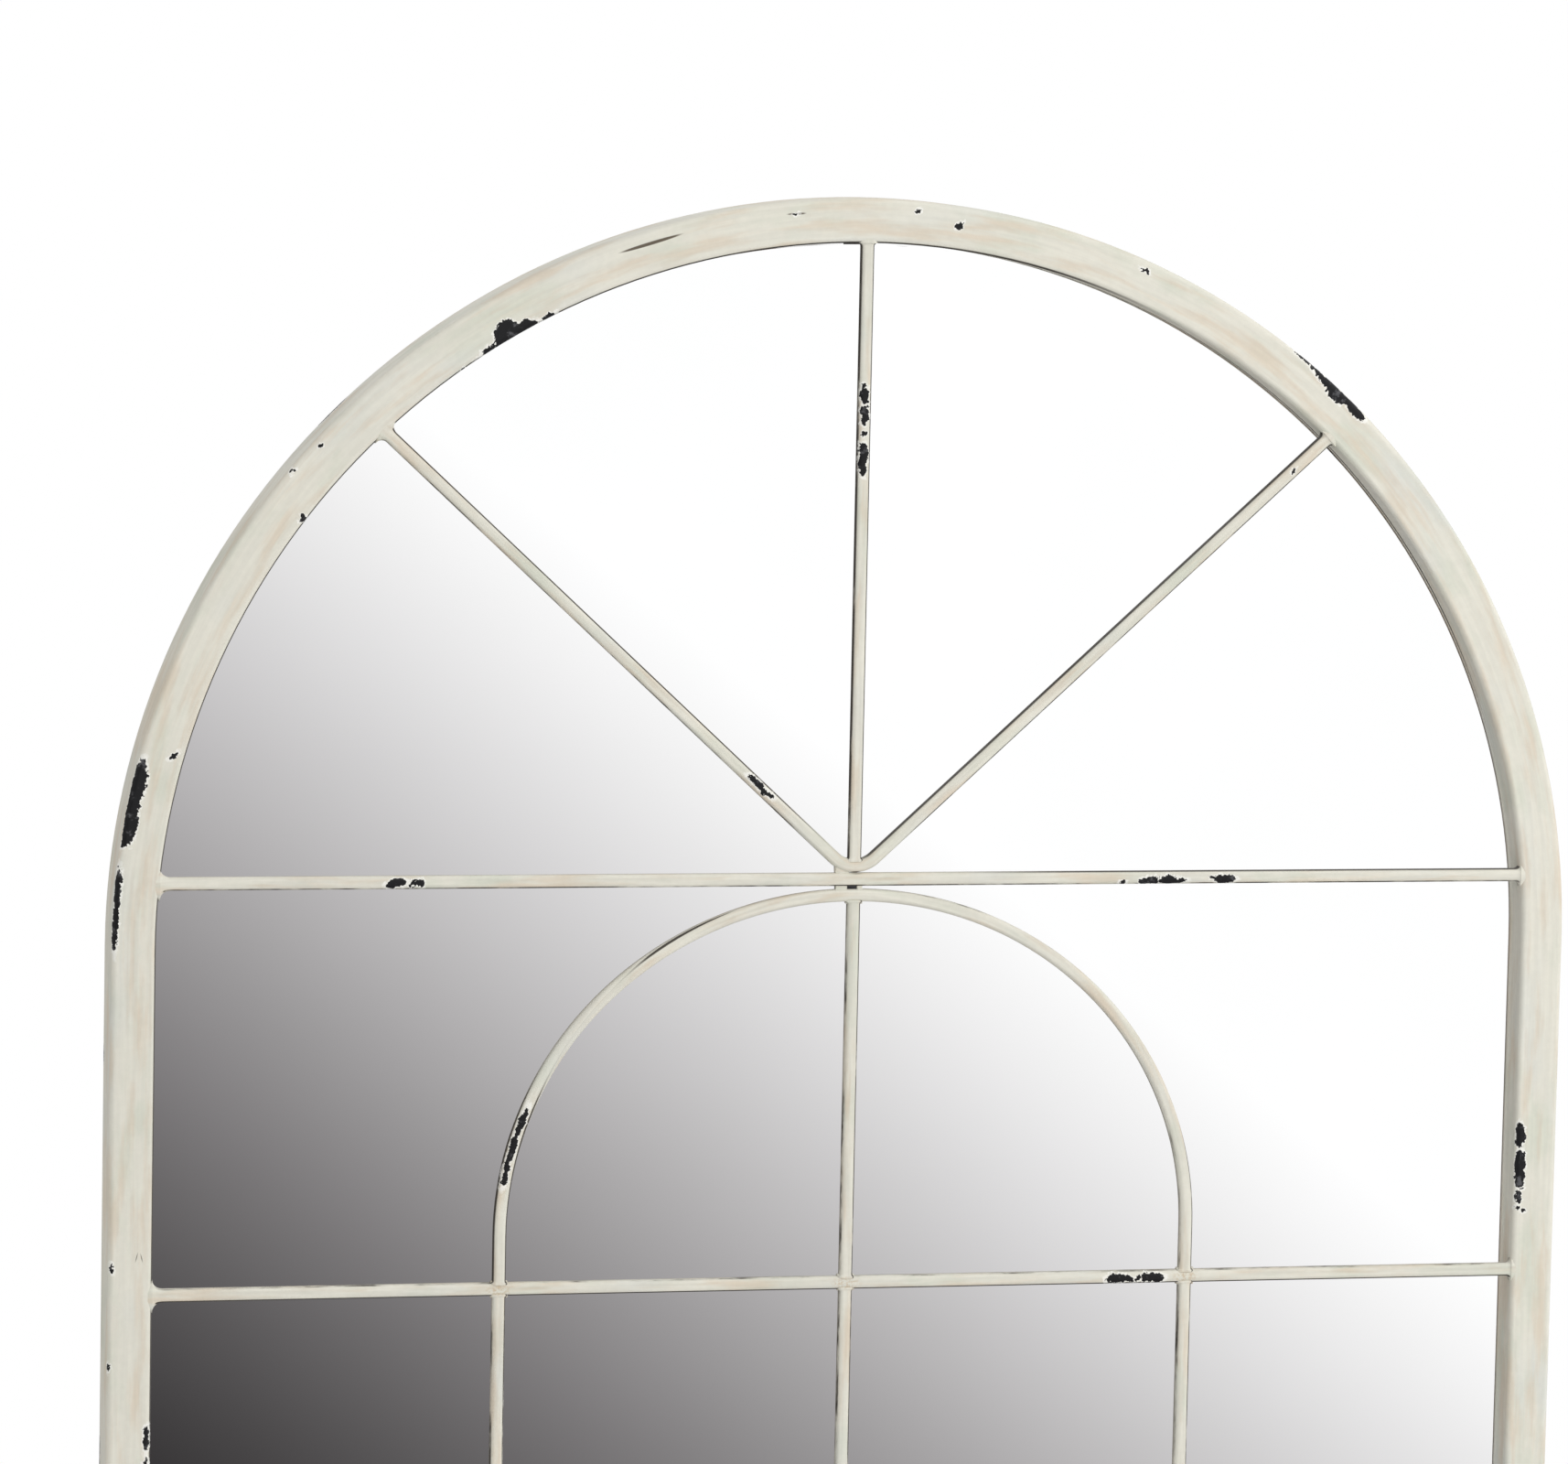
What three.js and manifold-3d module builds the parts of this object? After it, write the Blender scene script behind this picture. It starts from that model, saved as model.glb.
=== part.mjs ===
// Arched window mirror: a bent steel tube frame, a welded grille of thin bars and one mirror
// sheet on a backing board behind them.
// Millimetres. +Z is up, the mirror faces -Y, and the wall it hangs on is the plane Y = 0.
// The origin is the middle of the bottom rail's back face.

import * as THREE from "three";
import { mergeVertices } from "three/addons/utils/BufferGeometryUtils.js";
import Module from "manifold-3d";

// ---------------------------------------------------------------- driving dimensions

const OPENING_WIDTH = 800; // clear width between the legs of the frame
const TUBE_FACE = 25; // width of the tube as the front shows it
const TUBE_DEPTH = 35; // depth of the tube from front to wall
const TUBE_WALL = 1.5;
const TUBE_CORNER = 3; // outer corner radius of the tube

const BAR = 7.5; // side of the square grille bar
const BAR_CORNER = 2.2; // its rounded edges
const BAR_SETBACK = 1; // from the frame's front to the front of the bars

const ROWS = 4; // rows of panes below the transom
const ROW_PITCH = 233; // from one cross bar to the next
const TRANSOM_RISE = 37.5; // height of the transom above the springing of the outer arch
const INNER_ARCH_HALF_WIDTH = 202; // to the middle of the bar
const INNER_ARCH_RISE = 193; // of its bend, which is a little flatter than a half circle
const CROWN_GAP = 1.7; // between the inner arch and the transom
const V_SLOPE = THREE.MathUtils.degToRad(42.6); // slope of the two arms of the V bar
const V_BEND_RADIUS = 17.5; // to the middle of the bar

const WELD_FLARE = 6; // radius of the weld fillets where a bar meets the frame
const WELD_SINK = 0.4; // how far a fillet starts inside the frame's wall before it is trimmed
const CROWN_WELDS = [
  { left: -11, right: -4 }, // the two welds between the transom and the inner arch
  { left: 1.5, right: 4.7 },
];
const V_WELD = { left: -11.5, right: -3 }; // the weld that fills the corner under the V's left arm
const WELD_DEPTH = 4.5; // of these welds, from front to back

const GLASS_SETBACK = 20; // from the frame's front to the mirror
const GLASS_THICKNESS = 3;
const BOARD_THICKNESS = 5;
const SHEET_CLEARANCE = 1.5; // all round the mirror and the board

const LUG = { width: 16, length: 18, thickness: 2, corner: 4, holeRadius: 2.2, holeReach: 11 };
const SCREW = { shankRadius: 1.6, headRadius: 3.6, headHeight: 2, bite: 4 };
const HANGER = { length: 32, height: 44, thickness: 2, corner: 3, drop: 70 };
const KEYHOLE = { entryRadius: 5.5, slotRadius: 2.6, slotLength: 13, reach: 18 };

const ARCH_STEPS = 48; // flats in each half circle
const BEND_STEPS = 8; // flats in the bend of the V bar
const SEAM = 0.3; // gap left between pieces that touch

// ---------------------------------------------------------------- places worked out from them

const openingRadius = OPENING_WIDTH / 2;
const tubeRadius = openingRadius + TUBE_FACE / 2;
const frontY = -TUBE_DEPTH;
const tubeMiddleY = -TUBE_DEPTH / 2;
const railTopZ = TUBE_FACE / 2;
const barY = frontY + BAR_SETBACK + BAR / 2;

const transomZ = railTopZ + ROWS * ROW_PITCH - BAR / 2;
const springZ = transomZ - TRANSOM_RISE;
const crownZ = transomZ - BAR - CROWN_GAP;
const innerSpringZ = crownZ - INNER_ARCH_RISE;
const vApexZ = transomZ + BAR + SEAM;
const crossZ = (row) => transomZ - row * ROW_PITCH;

const glassBackY = frontY + GLASS_SETBACK + GLASS_THICKNESS;
const boardBackY = glassBackY + SEAM + BOARD_THICKNESS;
const lugBackY = boardBackY + SEAM + LUG.thickness;

// ---------------------------------------------------------------- finishes

function finish(color, roughness, metalness) {
  return new THREE.MeshStandardMaterial({ color, roughness, metalness });
}

const agedPaint = finish(0xddd9cb, 0.6, 0);
const silvering = finish(0xd8d8dc, 0.03, 1);
const fibreboard = finish(0x8a6a48, 0.85, 0);
const blackSteel = finish(0x26262a, 0.5, 0.4);
const zinc = finish(0xb9bbbd, 0.35, 1);

// ---------------------------------------------------------------- making and cutting solids

const wasm = await Module();
wasm.setup();

const model = new THREE.Group();

function addPiece(name, geometry, material) {
  const mesh = new THREE.Mesh(geometry, material);
  mesh.name = name;
  model.add(mesh);
  return mesh;
}

function toSolid(geometry) {
  const bare = geometry.clone();
  bare.deleteAttribute("normal");
  bare.deleteAttribute("uv");
  const merged = mergeVertices(bare);
  return new wasm.Manifold(
    new wasm.Mesh({
      numProp: 3,
      vertProperties: new Float32Array(merged.attributes.position.array),
      triVerts: new Uint32Array(merged.index.array),
    }),
  );
}

function toGeometry(solid) {
  const { vertProperties, triVerts } = solid.getMesh();
  const geometry = new THREE.BufferGeometry();
  geometry.setAttribute("position", new THREE.BufferAttribute(vertProperties, 3));
  geometry.setIndex(new THREE.BufferAttribute(triVerts, 1));
  geometry.computeVertexNormals();
  return geometry;
}

// A plate drawn on the front plane (X, Z), from one depth to another.
function plate(shape, fromY, toY, curveSegments = 2) {
  const geometry = new THREE.ExtrudeGeometry(shape, {
    depth: toY - fromY,
    bevelEnabled: false,
    curveSegments,
  });
  return geometry.rotateX(Math.PI / 2).translate(0, toY, 0);
}

// ---------------------------------------------------------------- outlines and sections

function roundedRectangle(width, height, radius) {
  const right = width / 2 - radius;
  const top = height / 2 - radius;
  const quarter = Math.PI / 2;
  const shape = new THREE.Shape();
  shape.absarc(right, top, radius, 0, quarter);
  shape.absarc(-right, top, radius, quarter, 2 * quarter);
  shape.absarc(-right, -top, radius, 2 * quarter, 3 * quarter);
  shape.absarc(right, -top, radius, 3 * quarter, 4 * quarter);
  return shape;
}

// The tube's section, its depth along X and its face along Y, with the hollow inside.
function tubeSection() {
  const shape = roundedRectangle(TUBE_DEPTH, TUBE_FACE, TUBE_CORNER);
  const insideX = TUBE_DEPTH / 2 - TUBE_WALL;
  const insideY = TUBE_FACE / 2 - TUBE_WALL;
  const hollow = new THREE.Path();
  hollow.moveTo(-insideX, -insideY);
  hollow.lineTo(-insideX, insideY);
  hollow.lineTo(insideX, insideY);
  hollow.lineTo(insideX, -insideY);
  hollow.closePath();
  shape.holes.push(hollow);
  return shape;
}

const barSection = () => roundedRectangle(BAR, BAR, BAR_CORNER);

// The opening of the frame, drawn in by a margin all round: straight sides and a half circle.
function openingOutline(margin) {
  const radius = openingRadius - margin;
  const shape = new THREE.Shape();
  shape.moveTo(-radius, railTopZ + margin);
  shape.lineTo(radius, railTopZ + margin);
  for (let i = 0; i <= ARCH_STEPS; i += 1) {
    const angle = (Math.PI * i) / ARCH_STEPS;
    shape.lineTo(radius * Math.cos(angle), springZ + radius * Math.sin(angle));
  }
  shape.closePath();
  return shape;
}

// ---------------------------------------------------------------- bending bars and tubes

// A bend line in the front plane, with a section at every station and none between them.
class BendLine extends THREE.Curve {
  constructor(stations) {
    super();
    this.stations = stations;
  }

  stationAt(u) {
    return this.stations[Math.round(u * (this.stations.length - 1))];
  }

  getPointAt(u) {
    return this.stationAt(u).point.clone();
  }

  getTangentAt(u) {
    return this.stationAt(u).tangent.clone();
  }
}

const station = (x, y, z, heading) => ({
  point: new THREE.Vector3(x, y, z),
  tangent: new THREE.Vector3(Math.cos(heading), 0, Math.sin(heading)),
});

// Stations round part of an ellipse, which is a circle when its rise equals its half width.
function arcStations(y, centreZ, halfWidth, rise, fromAngle, toAngle, steps) {
  const turn = Math.sign(toAngle - fromAngle);
  const stations = [];
  for (let i = 0; i <= steps; i += 1) {
    const angle = fromAngle + ((toAngle - fromAngle) * i) / steps;
    const x = halfWidth * Math.cos(angle);
    const z = centreZ + rise * Math.sin(angle);
    const runX = -turn * halfWidth * Math.sin(angle);
    const runZ = turn * rise * Math.cos(angle);
    stations.push(station(x, y, z, Math.atan2(runZ, runX)));
  }
  return stations;
}

function sweep(section, stations, curveSegments) {
  return new THREE.ExtrudeGeometry(section, {
    steps: stations.length - 1,
    extrudePath: new BendLine(stations),
    curveSegments,
  });
}

// An arch bar or tube: up one leg, over the arch and down the other.
function archStations(y, halfWidth, rise, arcZ, footZ) {
  return [
    station(-halfWidth, y, footZ, Math.PI / 2),
    ...arcStations(y, arcZ, halfWidth, rise, Math.PI, 0, ARCH_STEPS),
    station(halfWidth, y, footZ, -Math.PI / 2),
  ];
}

// ---------------------------------------------------------------- the outer frame

// The half-space on one side of a 45 degree mitre through a bottom corner, as a large block.
function mitreBlock(side, above) {
  const reach = 4 * TUBE_DEPTH;
  const block = new THREE.BoxGeometry(reach, reach, reach);
  const shift = (above ? 1 : -1) * (reach / 2 - SEAM / 2);
  block.translate(0, 0, shift);
  block.rotateY((side * Math.PI) / 4);
  block.translate(side * tubeRadius, tubeMiddleY, 0);
  return toSolid(block);
}

function outerFrame() {
  const stations = archStations(tubeMiddleY, tubeRadius, tubeRadius, springZ, -TUBE_FACE);
  let solid = toSolid(sweep(tubeSection(), stations, 2));
  for (const side of [-1, 1]) {
    solid = solid.subtract(mitreBlock(side, false));
  }
  return toGeometry(solid);
}

function bottomRail() {
  const length = 2 * (tubeRadius + TUBE_FACE);
  const rail = new THREE.ExtrudeGeometry(tubeSection(), {
    depth: length,
    bevelEnabled: false,
    curveSegments: 2,
  });
  rail.rotateY(Math.PI / 2);
  rail.rotateX(Math.PI / 2);
  rail.translate(-length / 2, tubeMiddleY, 0);
  let solid = toSolid(rail);
  for (const side of [-1, 1]) {
    solid = solid.subtract(mitreBlock(side, true));
  }
  return toGeometry(solid);
}

addPiece("outer_frame", outerFrame(), agedPaint);
addPiece("bottom_rail", bottomRail(), agedPaint);

// ---------------------------------------------------------------- the welded grille

// Everything in the grille is trimmed to the frame's opening, so bar ends follow its walls.
const openingPrism = toSolid(plate(openingOutline(SEAM), frontY - TUBE_DEPTH, 0));

const trimmed = (solid) => solid.intersect(openingPrism);

// A straight bar in the front plane, from one point to another.
function straightBar(fromX, fromZ, toX, toZ) {
  const length = Math.hypot(toX - fromX, toZ - fromZ);
  const geometry = new THREE.ExtrudeGeometry(barSection(), {
    depth: length,
    bevelEnabled: false,
    curveSegments: 1,
  });
  geometry.rotateY(Math.PI / 2 - Math.atan2(toZ - fromZ, toX - fromX));
  geometry.translate(fromX, barY, fromZ);
  return toSolid(geometry);
}

// The weld that spreads a bar's end where it meets the frame at (x, z). `heading` points from
// the frame along the bar.
function weldFlare(x, z, heading) {
  const half = BAR / 2;
  const shape = new THREE.Shape();
  shape.moveTo(-half - WELD_FLARE, 0);
  shape.lineTo(half + WELD_FLARE, 0);
  shape.absarc(half + WELD_FLARE, WELD_FLARE, WELD_FLARE, -Math.PI / 2, -Math.PI, true);
  shape.lineTo(-half, WELD_FLARE);
  shape.absarc(-half - WELD_FLARE, WELD_FLARE, WELD_FLARE, 0, -Math.PI / 2, true);
  const depth = BAR - BAR_CORNER;
  const flare = new THREE.ExtrudeGeometry(shape, { depth, bevelEnabled: false, curveSegments: 2 });
  flare.rotateX(Math.PI / 2).translate(0, depth / 2, -WELD_SINK);
  flare.rotateY(Math.PI / 2 - heading);
  flare.translate(x, barY, z);
  return toSolid(flare);
}

// A bar right across the opening at one height, welded to the frame at both ends.
function crossBar(z) {
  const rise = Math.max(0, z - springZ);
  const wallX = Math.sqrt(openingRadius ** 2 - rise ** 2);
  const bar = straightBar(-openingRadius, z, openingRadius, z);
  return trimmed(bar.add(weldFlare(-wallX, z, 0)).add(weldFlare(wallX, z, Math.PI)));
}

addPiece("transom_bar", toGeometry(crossBar(transomZ)), agedPaint);
for (let row = 1; row < ROWS; row += 1) {
  addPiece(`cross_bar_${row}`, toGeometry(crossBar(crossZ(row))), agedPaint);
}

// The V bar: one bar bent at the bottom, its arms reaching up to the outer arch.
const vBendZ = vApexZ + V_BEND_RADIUS;

// Where the middle of the V's right arm meets the outer arch.
function vArmEnd() {
  const startX = V_BEND_RADIUS * Math.sin(V_SLOPE);
  const startZ = vBendZ - V_BEND_RADIUS * Math.cos(V_SLOPE);
  // Length of an arm from the bend to the circle of the arch.
  const along = startX * Math.cos(V_SLOPE) + (startZ - springZ) * Math.sin(V_SLOPE);
  const offset = startX ** 2 + (startZ - springZ) ** 2 - openingRadius ** 2;
  const arm = -along + Math.sqrt(along ** 2 - offset);
  return { x: startX + arm * Math.cos(V_SLOPE), z: startZ + arm * Math.sin(V_SLOPE) };
}

// The V with any section. Its arms run on into the tube, to be trimmed there.
function vSweep(section) {
  const tip = vArmEnd();
  tip.x += BAR * Math.cos(V_SLOPE);
  tip.z += BAR * Math.sin(V_SLOPE);
  const lean = Math.PI / 2 - V_SLOPE;
  const fromAngle = lean - Math.PI;
  const bend = arcStations(barY, vBendZ, V_BEND_RADIUS, V_BEND_RADIUS, fromAngle, -lean, BEND_STEPS);
  const stations = [
    station(-tip.x, barY, tip.z, -V_SLOPE),
    ...bend,
    station(tip.x, barY, tip.z, V_SLOPE),
  ];
  return toSolid(sweep(section, stations, 1));
}

function vBar() {
  const end = vArmEnd();
  const leftFlare = weldFlare(-end.x, end.z, -V_SLOPE);
  const rightFlare = weldFlare(end.x, end.z, Math.PI + V_SLOPE);
  return trimmed(vSweep(barSection()).add(leftFlare).add(rightFlare));
}

addPiece("v_bar", toGeometry(vBar()), agedPaint);

// The upper centre bar stands in the V's bend, so its foot is rounded to seat there.
function upperCentreBar() {
  const footRadius = V_BEND_RADIUS - BAR / 2 - SEAM;
  const topZ = springZ + openingRadius;
  const reach = new THREE.Shape();
  reach.moveTo(footRadius, vBendZ);
  reach.lineTo(footRadius, topZ + BAR);
  reach.lineTo(-footRadius, topZ + BAR);
  reach.lineTo(-footRadius, vBendZ);
  reach.absarc(0, vBendZ, footRadius, Math.PI, 2 * Math.PI);
  const seat = toSolid(plate(reach, frontY, 0, 2 * BEND_STEPS));
  const bar = straightBar(0, vApexZ, 0, topZ + BAR);
  return trimmed(bar.intersect(seat).add(weldFlare(0, topZ, -Math.PI / 2)));
}

addPiece("upper_centre_bar", toGeometry(upperCentreBar()), agedPaint);

// The inner arch is one bent bar that stands on the first cross bar.
const firstCrossTopZ = crossZ(1) + BAR / 2;
const innerArchFootZ = firstCrossTopZ + SEAM;

function innerArchSweep(section, footZ) {
  const shape = [INNER_ARCH_HALF_WIDTH, INNER_ARCH_RISE, innerSpringZ];
  return sweep(section, archStations(barY, ...shape, footZ), 1);
}

addPiece("inner_arch_bar", innerArchSweep(barSection(), innerArchFootZ), agedPaint);

// A weld between two bars is a block across their gap, cut back to leave the seam round each.
const looseSection = () => roundedRectangle(BAR + 2 * SEAM, BAR + 2 * SEAM, BAR_CORNER + SEAM);

function weldBlock({ left, right }, bottomZ, topZ) {
  const block = new THREE.BoxGeometry(right - left, WELD_DEPTH, topZ - bottomZ);
  block.translate((left + right) / 2, barY, (bottomZ + topZ) / 2);
  return toSolid(block);
}

// Welds that join the crown of the inner arch to the transom.
const transomBottomZ = transomZ - BAR / 2 - SEAM;
const looseArch = toSolid(innerArchSweep(looseSection(), innerArchFootZ));
CROWN_WELDS.forEach((width, i) => {
  const weld = weldBlock(width, crownZ, transomBottomZ).subtract(looseArch);
  addPiece(`crown_weld_${i + 1}`, toGeometry(weld), agedPaint);
});

// The weld in the corner between the V's left arm and the transom.
const transomTopZ = transomZ + BAR / 2 + SEAM;
const vWeld = weldBlock(V_WELD, transomTopZ, vApexZ).subtract(vSweep(looseSection()));
addPiece("v_weld", toGeometry(vWeld), agedPaint);

// The uprights between the cross bars: one under the crown, then three to each row.
const underCrown = straightBar(0, firstCrossTopZ + SEAM, 0, crownZ - BAR / 2 - SEAM);
addPiece("centre_upright_1", toGeometry(underCrown), agedPaint);

function upright(x, row) {
  const topZ = crossZ(row - 1) - BAR / 2 - SEAM;
  if (row < ROWS) {
    return straightBar(x, crossZ(row) + BAR / 2 + SEAM, x, topZ);
  }
  const foot = weldFlare(x, railTopZ, Math.PI / 2);
  return trimmed(straightBar(x, 0, x, topZ).add(foot));
}

const uprightColumns = { left: -INNER_ARCH_HALF_WIDTH, centre: 0, right: INNER_ARCH_HALF_WIDTH };
for (let row = 2; row <= ROWS; row += 1) {
  for (const [column, x] of Object.entries(uprightColumns)) {
    addPiece(`${column}_upright_${row}`, toGeometry(upright(x, row)), agedPaint);
  }
}

// ---------------------------------------------------------------- mirror and backing board

const sheetOutline = openingOutline(SHEET_CLEARANCE);
addPiece("mirror_glass", plate(sheetOutline, glassBackY - GLASS_THICKNESS, glassBackY), silvering);

// Where the lugs sit on the frame's inner wall: a point and the direction into the opening.
function lugPlaces() {
  const places = [];
  for (const side of [-1, 1]) {
    places.push({ x: side * INNER_ARCH_HALF_WIDTH, z: railTopZ, heading: Math.PI / 2 });
    for (const row of [1.5, 3.5]) {
      places.push({ x: side * openingRadius, z: crossZ(row), heading: side < 0 ? 0 : Math.PI });
    }
  }
  for (const angle of [Math.PI / 4, Math.PI / 2, (3 * Math.PI) / 4]) {
    const x = openingRadius * Math.cos(angle);
    const z = springZ + openingRadius * Math.sin(angle);
    places.push({ x, z, heading: angle + Math.PI });
  }
  return places;
}

// A lug is a small tab, welded to the frame at its straight end and drilled for one screw.
function lug() {
  const half = LUG.width / 2;
  const shape = new THREE.Shape();
  shape.moveTo(-half, SEAM);
  shape.lineTo(half, SEAM);
  shape.lineTo(half, LUG.length - LUG.corner);
  shape.absarc(half - LUG.corner, LUG.length - LUG.corner, LUG.corner, 0, Math.PI / 2);
  shape.lineTo(LUG.corner - half, LUG.length);
  shape.absarc(LUG.corner - half, LUG.length - LUG.corner, LUG.corner, Math.PI / 2, Math.PI);
  const hole = new THREE.Path();
  hole.absarc(0, LUG.holeReach, LUG.holeRadius, 0, 2 * Math.PI, true);
  shape.holes.push(hole);
  return plate(shape, lugBackY - LUG.thickness, lugBackY, 4);
}

// A round-headed screw on the Y axis, its head towards the wall and its point towards the glass.
function screw() {
  const seatY = lugBackY + SEAM;
  const tipY = boardBackY - SCREW.bite;
  const { shankRadius, headRadius, headHeight } = SCREW;
  const profile = [
    new THREE.Vector2(0, tipY),
    new THREE.Vector2(shankRadius, tipY + shankRadius),
    new THREE.Vector2(shankRadius, seatY),
    new THREE.Vector2(headRadius, seatY),
    new THREE.Vector2(headRadius, seatY + headHeight / 2),
    new THREE.Vector2(headRadius * 0.7, seatY + headHeight * 0.9),
    new THREE.Vector2(0, seatY + headHeight),
  ];
  return new THREE.LatheGeometry(profile, 16);
}

// The board carries the glued mirror, with a blind pilot hole behind every lug.
let board = toSolid(plate(sheetOutline, glassBackY + SEAM, boardBackY));
lugPlaces().forEach(({ x, z, heading }, i) => {
  const holeX = x + LUG.holeReach * Math.cos(heading);
  const holeZ = z + LUG.holeReach * Math.sin(heading);
  const pilotRadius = SCREW.shankRadius + SEAM;
  const pilot = new THREE.CylinderGeometry(pilotRadius, pilotRadius, 2 * (SCREW.bite + SEAM), 12);
  board = board.subtract(toSolid(pilot.translate(holeX, boardBackY, holeZ)));

  const tab = addPiece(`frame_lug_${i + 1}`, lug(), blackSteel);
  tab.position.set(x, 0, z);
  tab.rotation.y = Math.PI / 2 - heading;
  addPiece(`lug_screw_${i + 1}`, screw(), zinc).position.set(holeX, 0, holeZ);
});
addPiece("backing_board", toGeometry(board), fibreboard);

// ---------------------------------------------------------------- hanger plates

// A plate welded inside each leg at the back, with a keyhole for the head of a wall screw.
function hangerPlate(side) {
  const { length, height, corner } = HANGER;
  const wallX = side * (openingRadius - SEAM);
  const middleX = wallX - (side * length) / 2;
  const middleZ = springZ - HANGER.drop;
  const blank = plate(roundedRectangle(length, height, corner), -HANGER.thickness, 0);
  blank.translate(middleX, 0, middleZ);

  const keyhole = new THREE.Shape();
  const { entryRadius, slotRadius, slotLength } = KEYHOLE;
  const neck = Math.asin(slotRadius / entryRadius);
  keyhole.absarc(0, 0, entryRadius, Math.PI / 2 + neck, 2.5 * Math.PI - neck);
  keyhole.absarc(0, slotLength, slotRadius, 0, Math.PI);
  const cut = plate(keyhole, -2 * HANGER.thickness, HANGER.thickness, 5);
  cut.translate(wallX - side * KEYHOLE.reach, 0, middleZ - slotLength / 2);
  return toGeometry(toSolid(blank).subtract(toSolid(cut)));
}

addPiece("left_hanger_plate", hangerPlate(-1), blackSteel);
addPiece("right_hanger_plate", hangerPlate(1), blackSteel);

export default model;
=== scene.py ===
# %% [markdown]
# # An arched mirror framed like a window
#
# The real mirror is a steel tube bent to a round arch, a grille of thin square bars welded inside
# it, and one mirror sheet on a fibreboard back behind the bars. The steel was painted black and
# then antique white, and the white was chipped and rubbed until it looked old.
#
# The solids already hold every piece at its real size and place. This lesson loads them, measures
# them, and models a finer piece for each one, with soft corners, smooth bends and lumpy welds.
# Then it paints the pieces with node materials and lights them like a plain product photograph.

# %% Load the solids
import math
import random

import bmesh
import bpy
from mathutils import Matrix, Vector


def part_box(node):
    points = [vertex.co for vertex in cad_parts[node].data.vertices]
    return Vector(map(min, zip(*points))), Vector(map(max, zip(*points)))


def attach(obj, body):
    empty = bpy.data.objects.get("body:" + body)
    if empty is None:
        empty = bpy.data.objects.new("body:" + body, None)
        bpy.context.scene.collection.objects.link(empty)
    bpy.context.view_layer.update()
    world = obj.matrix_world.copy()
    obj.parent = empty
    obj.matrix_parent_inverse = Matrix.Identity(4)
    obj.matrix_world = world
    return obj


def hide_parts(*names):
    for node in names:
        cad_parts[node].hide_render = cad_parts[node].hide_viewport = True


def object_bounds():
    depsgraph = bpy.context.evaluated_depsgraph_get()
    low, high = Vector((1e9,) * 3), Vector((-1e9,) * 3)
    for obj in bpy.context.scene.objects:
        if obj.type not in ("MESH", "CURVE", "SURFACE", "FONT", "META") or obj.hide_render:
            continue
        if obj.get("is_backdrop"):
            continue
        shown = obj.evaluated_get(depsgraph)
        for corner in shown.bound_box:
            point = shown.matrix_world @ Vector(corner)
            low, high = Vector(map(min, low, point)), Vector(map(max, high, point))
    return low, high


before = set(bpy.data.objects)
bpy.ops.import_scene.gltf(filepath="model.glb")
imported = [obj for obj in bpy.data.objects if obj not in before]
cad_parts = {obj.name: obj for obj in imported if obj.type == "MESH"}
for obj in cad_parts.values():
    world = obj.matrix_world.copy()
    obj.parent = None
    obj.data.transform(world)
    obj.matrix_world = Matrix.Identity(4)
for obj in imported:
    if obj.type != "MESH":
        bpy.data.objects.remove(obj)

cad_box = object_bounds()
size = cad_box[1] - cad_box[0]
print(f"{len(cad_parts)} solids,", " x ".join(f"{side:.4f}" for side in size), "m")

# %% [markdown]
# ## Camera
#
# The camera comes first, because every later choice is judged through it. It stands a little to
# the left of the mirror and a little above its crown, far away with a long lens, as a product
# camera does to keep straight lines straight. It was found by matching the arch, the legs and the
# bars of the solids with the photograph, so it needs no shift.

# %% The photograph's viewpoint
scene = bpy.context.scene
camera = bpy.data.objects.new("camera", bpy.data.cameras.new("camera"))
scene.collection.objects.link(camera)
camera.location = (-0.9118, -3.9012, 1.4308)
camera.rotation_euler = [math.radians(angle) for angle in (84.162, -1.173, -12.537)]
camera.data.sensor_width = 36
camera.data.lens = 161.12
scene.camera = camera
scene.view_settings.view_transform = "Standard"
print(f"camera {camera.location.length:.2f} m from the foot of the mirror")

# %% [markdown]
# ## Sizes
#
# Nothing is measured by eye twice: the places of the tube, the bars and the sheets are read from
# the boxes of the solids. Only what a box can't tell, such as a corner radius or the slope of a
# bar, is written here as a number of its own, with the value that the solids have.

# %% The tube frame, measured
MM = 0.001
TUBE_WALL = 1.5 * MM
TUBE_CORNER = 3 * MM

frame_low, frame_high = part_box("outer_frame")
rail_low, rail_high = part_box("bottom_rail")
front_y = frame_low.y
tube_middle_y = (frame_low.y + frame_high.y) / 2
tube_face = rail_high.z - rail_low.z
tube_depth = frame_high.y - frame_low.y
half_width = frame_high.x
tube_radius = half_width - tube_face / 2
opening_half = half_width - tube_face
spring_z = frame_high.z - half_width  # the arch is a half circle, so it springs here
rail_top_z = rail_high.z
print(f"tube {tube_face / MM:.1f} x {tube_depth / MM:.1f} mm,",
      f"opening {2 * opening_half / MM:.0f} mm")

# %% The bars, measured
BAR_CORNER = 2.5 * MM
INNER_ARCH_RISE = 193 * MM  # of its bend, to the middle of the bar
V_SLOPE = math.radians(42.6)
V_BEND_RADIUS = 17.5 * MM  # to the middle of the bar

upright_low, upright_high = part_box("centre_upright_1")
bar = upright_high.x - upright_low.x
bar_y = (upright_low.y + upright_high.y) / 2
bar_front_y = upright_low.y
bar_back_y = upright_high.y


def middle_height(node):
    low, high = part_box(node)
    return (low.z + high.z) / 2


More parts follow.
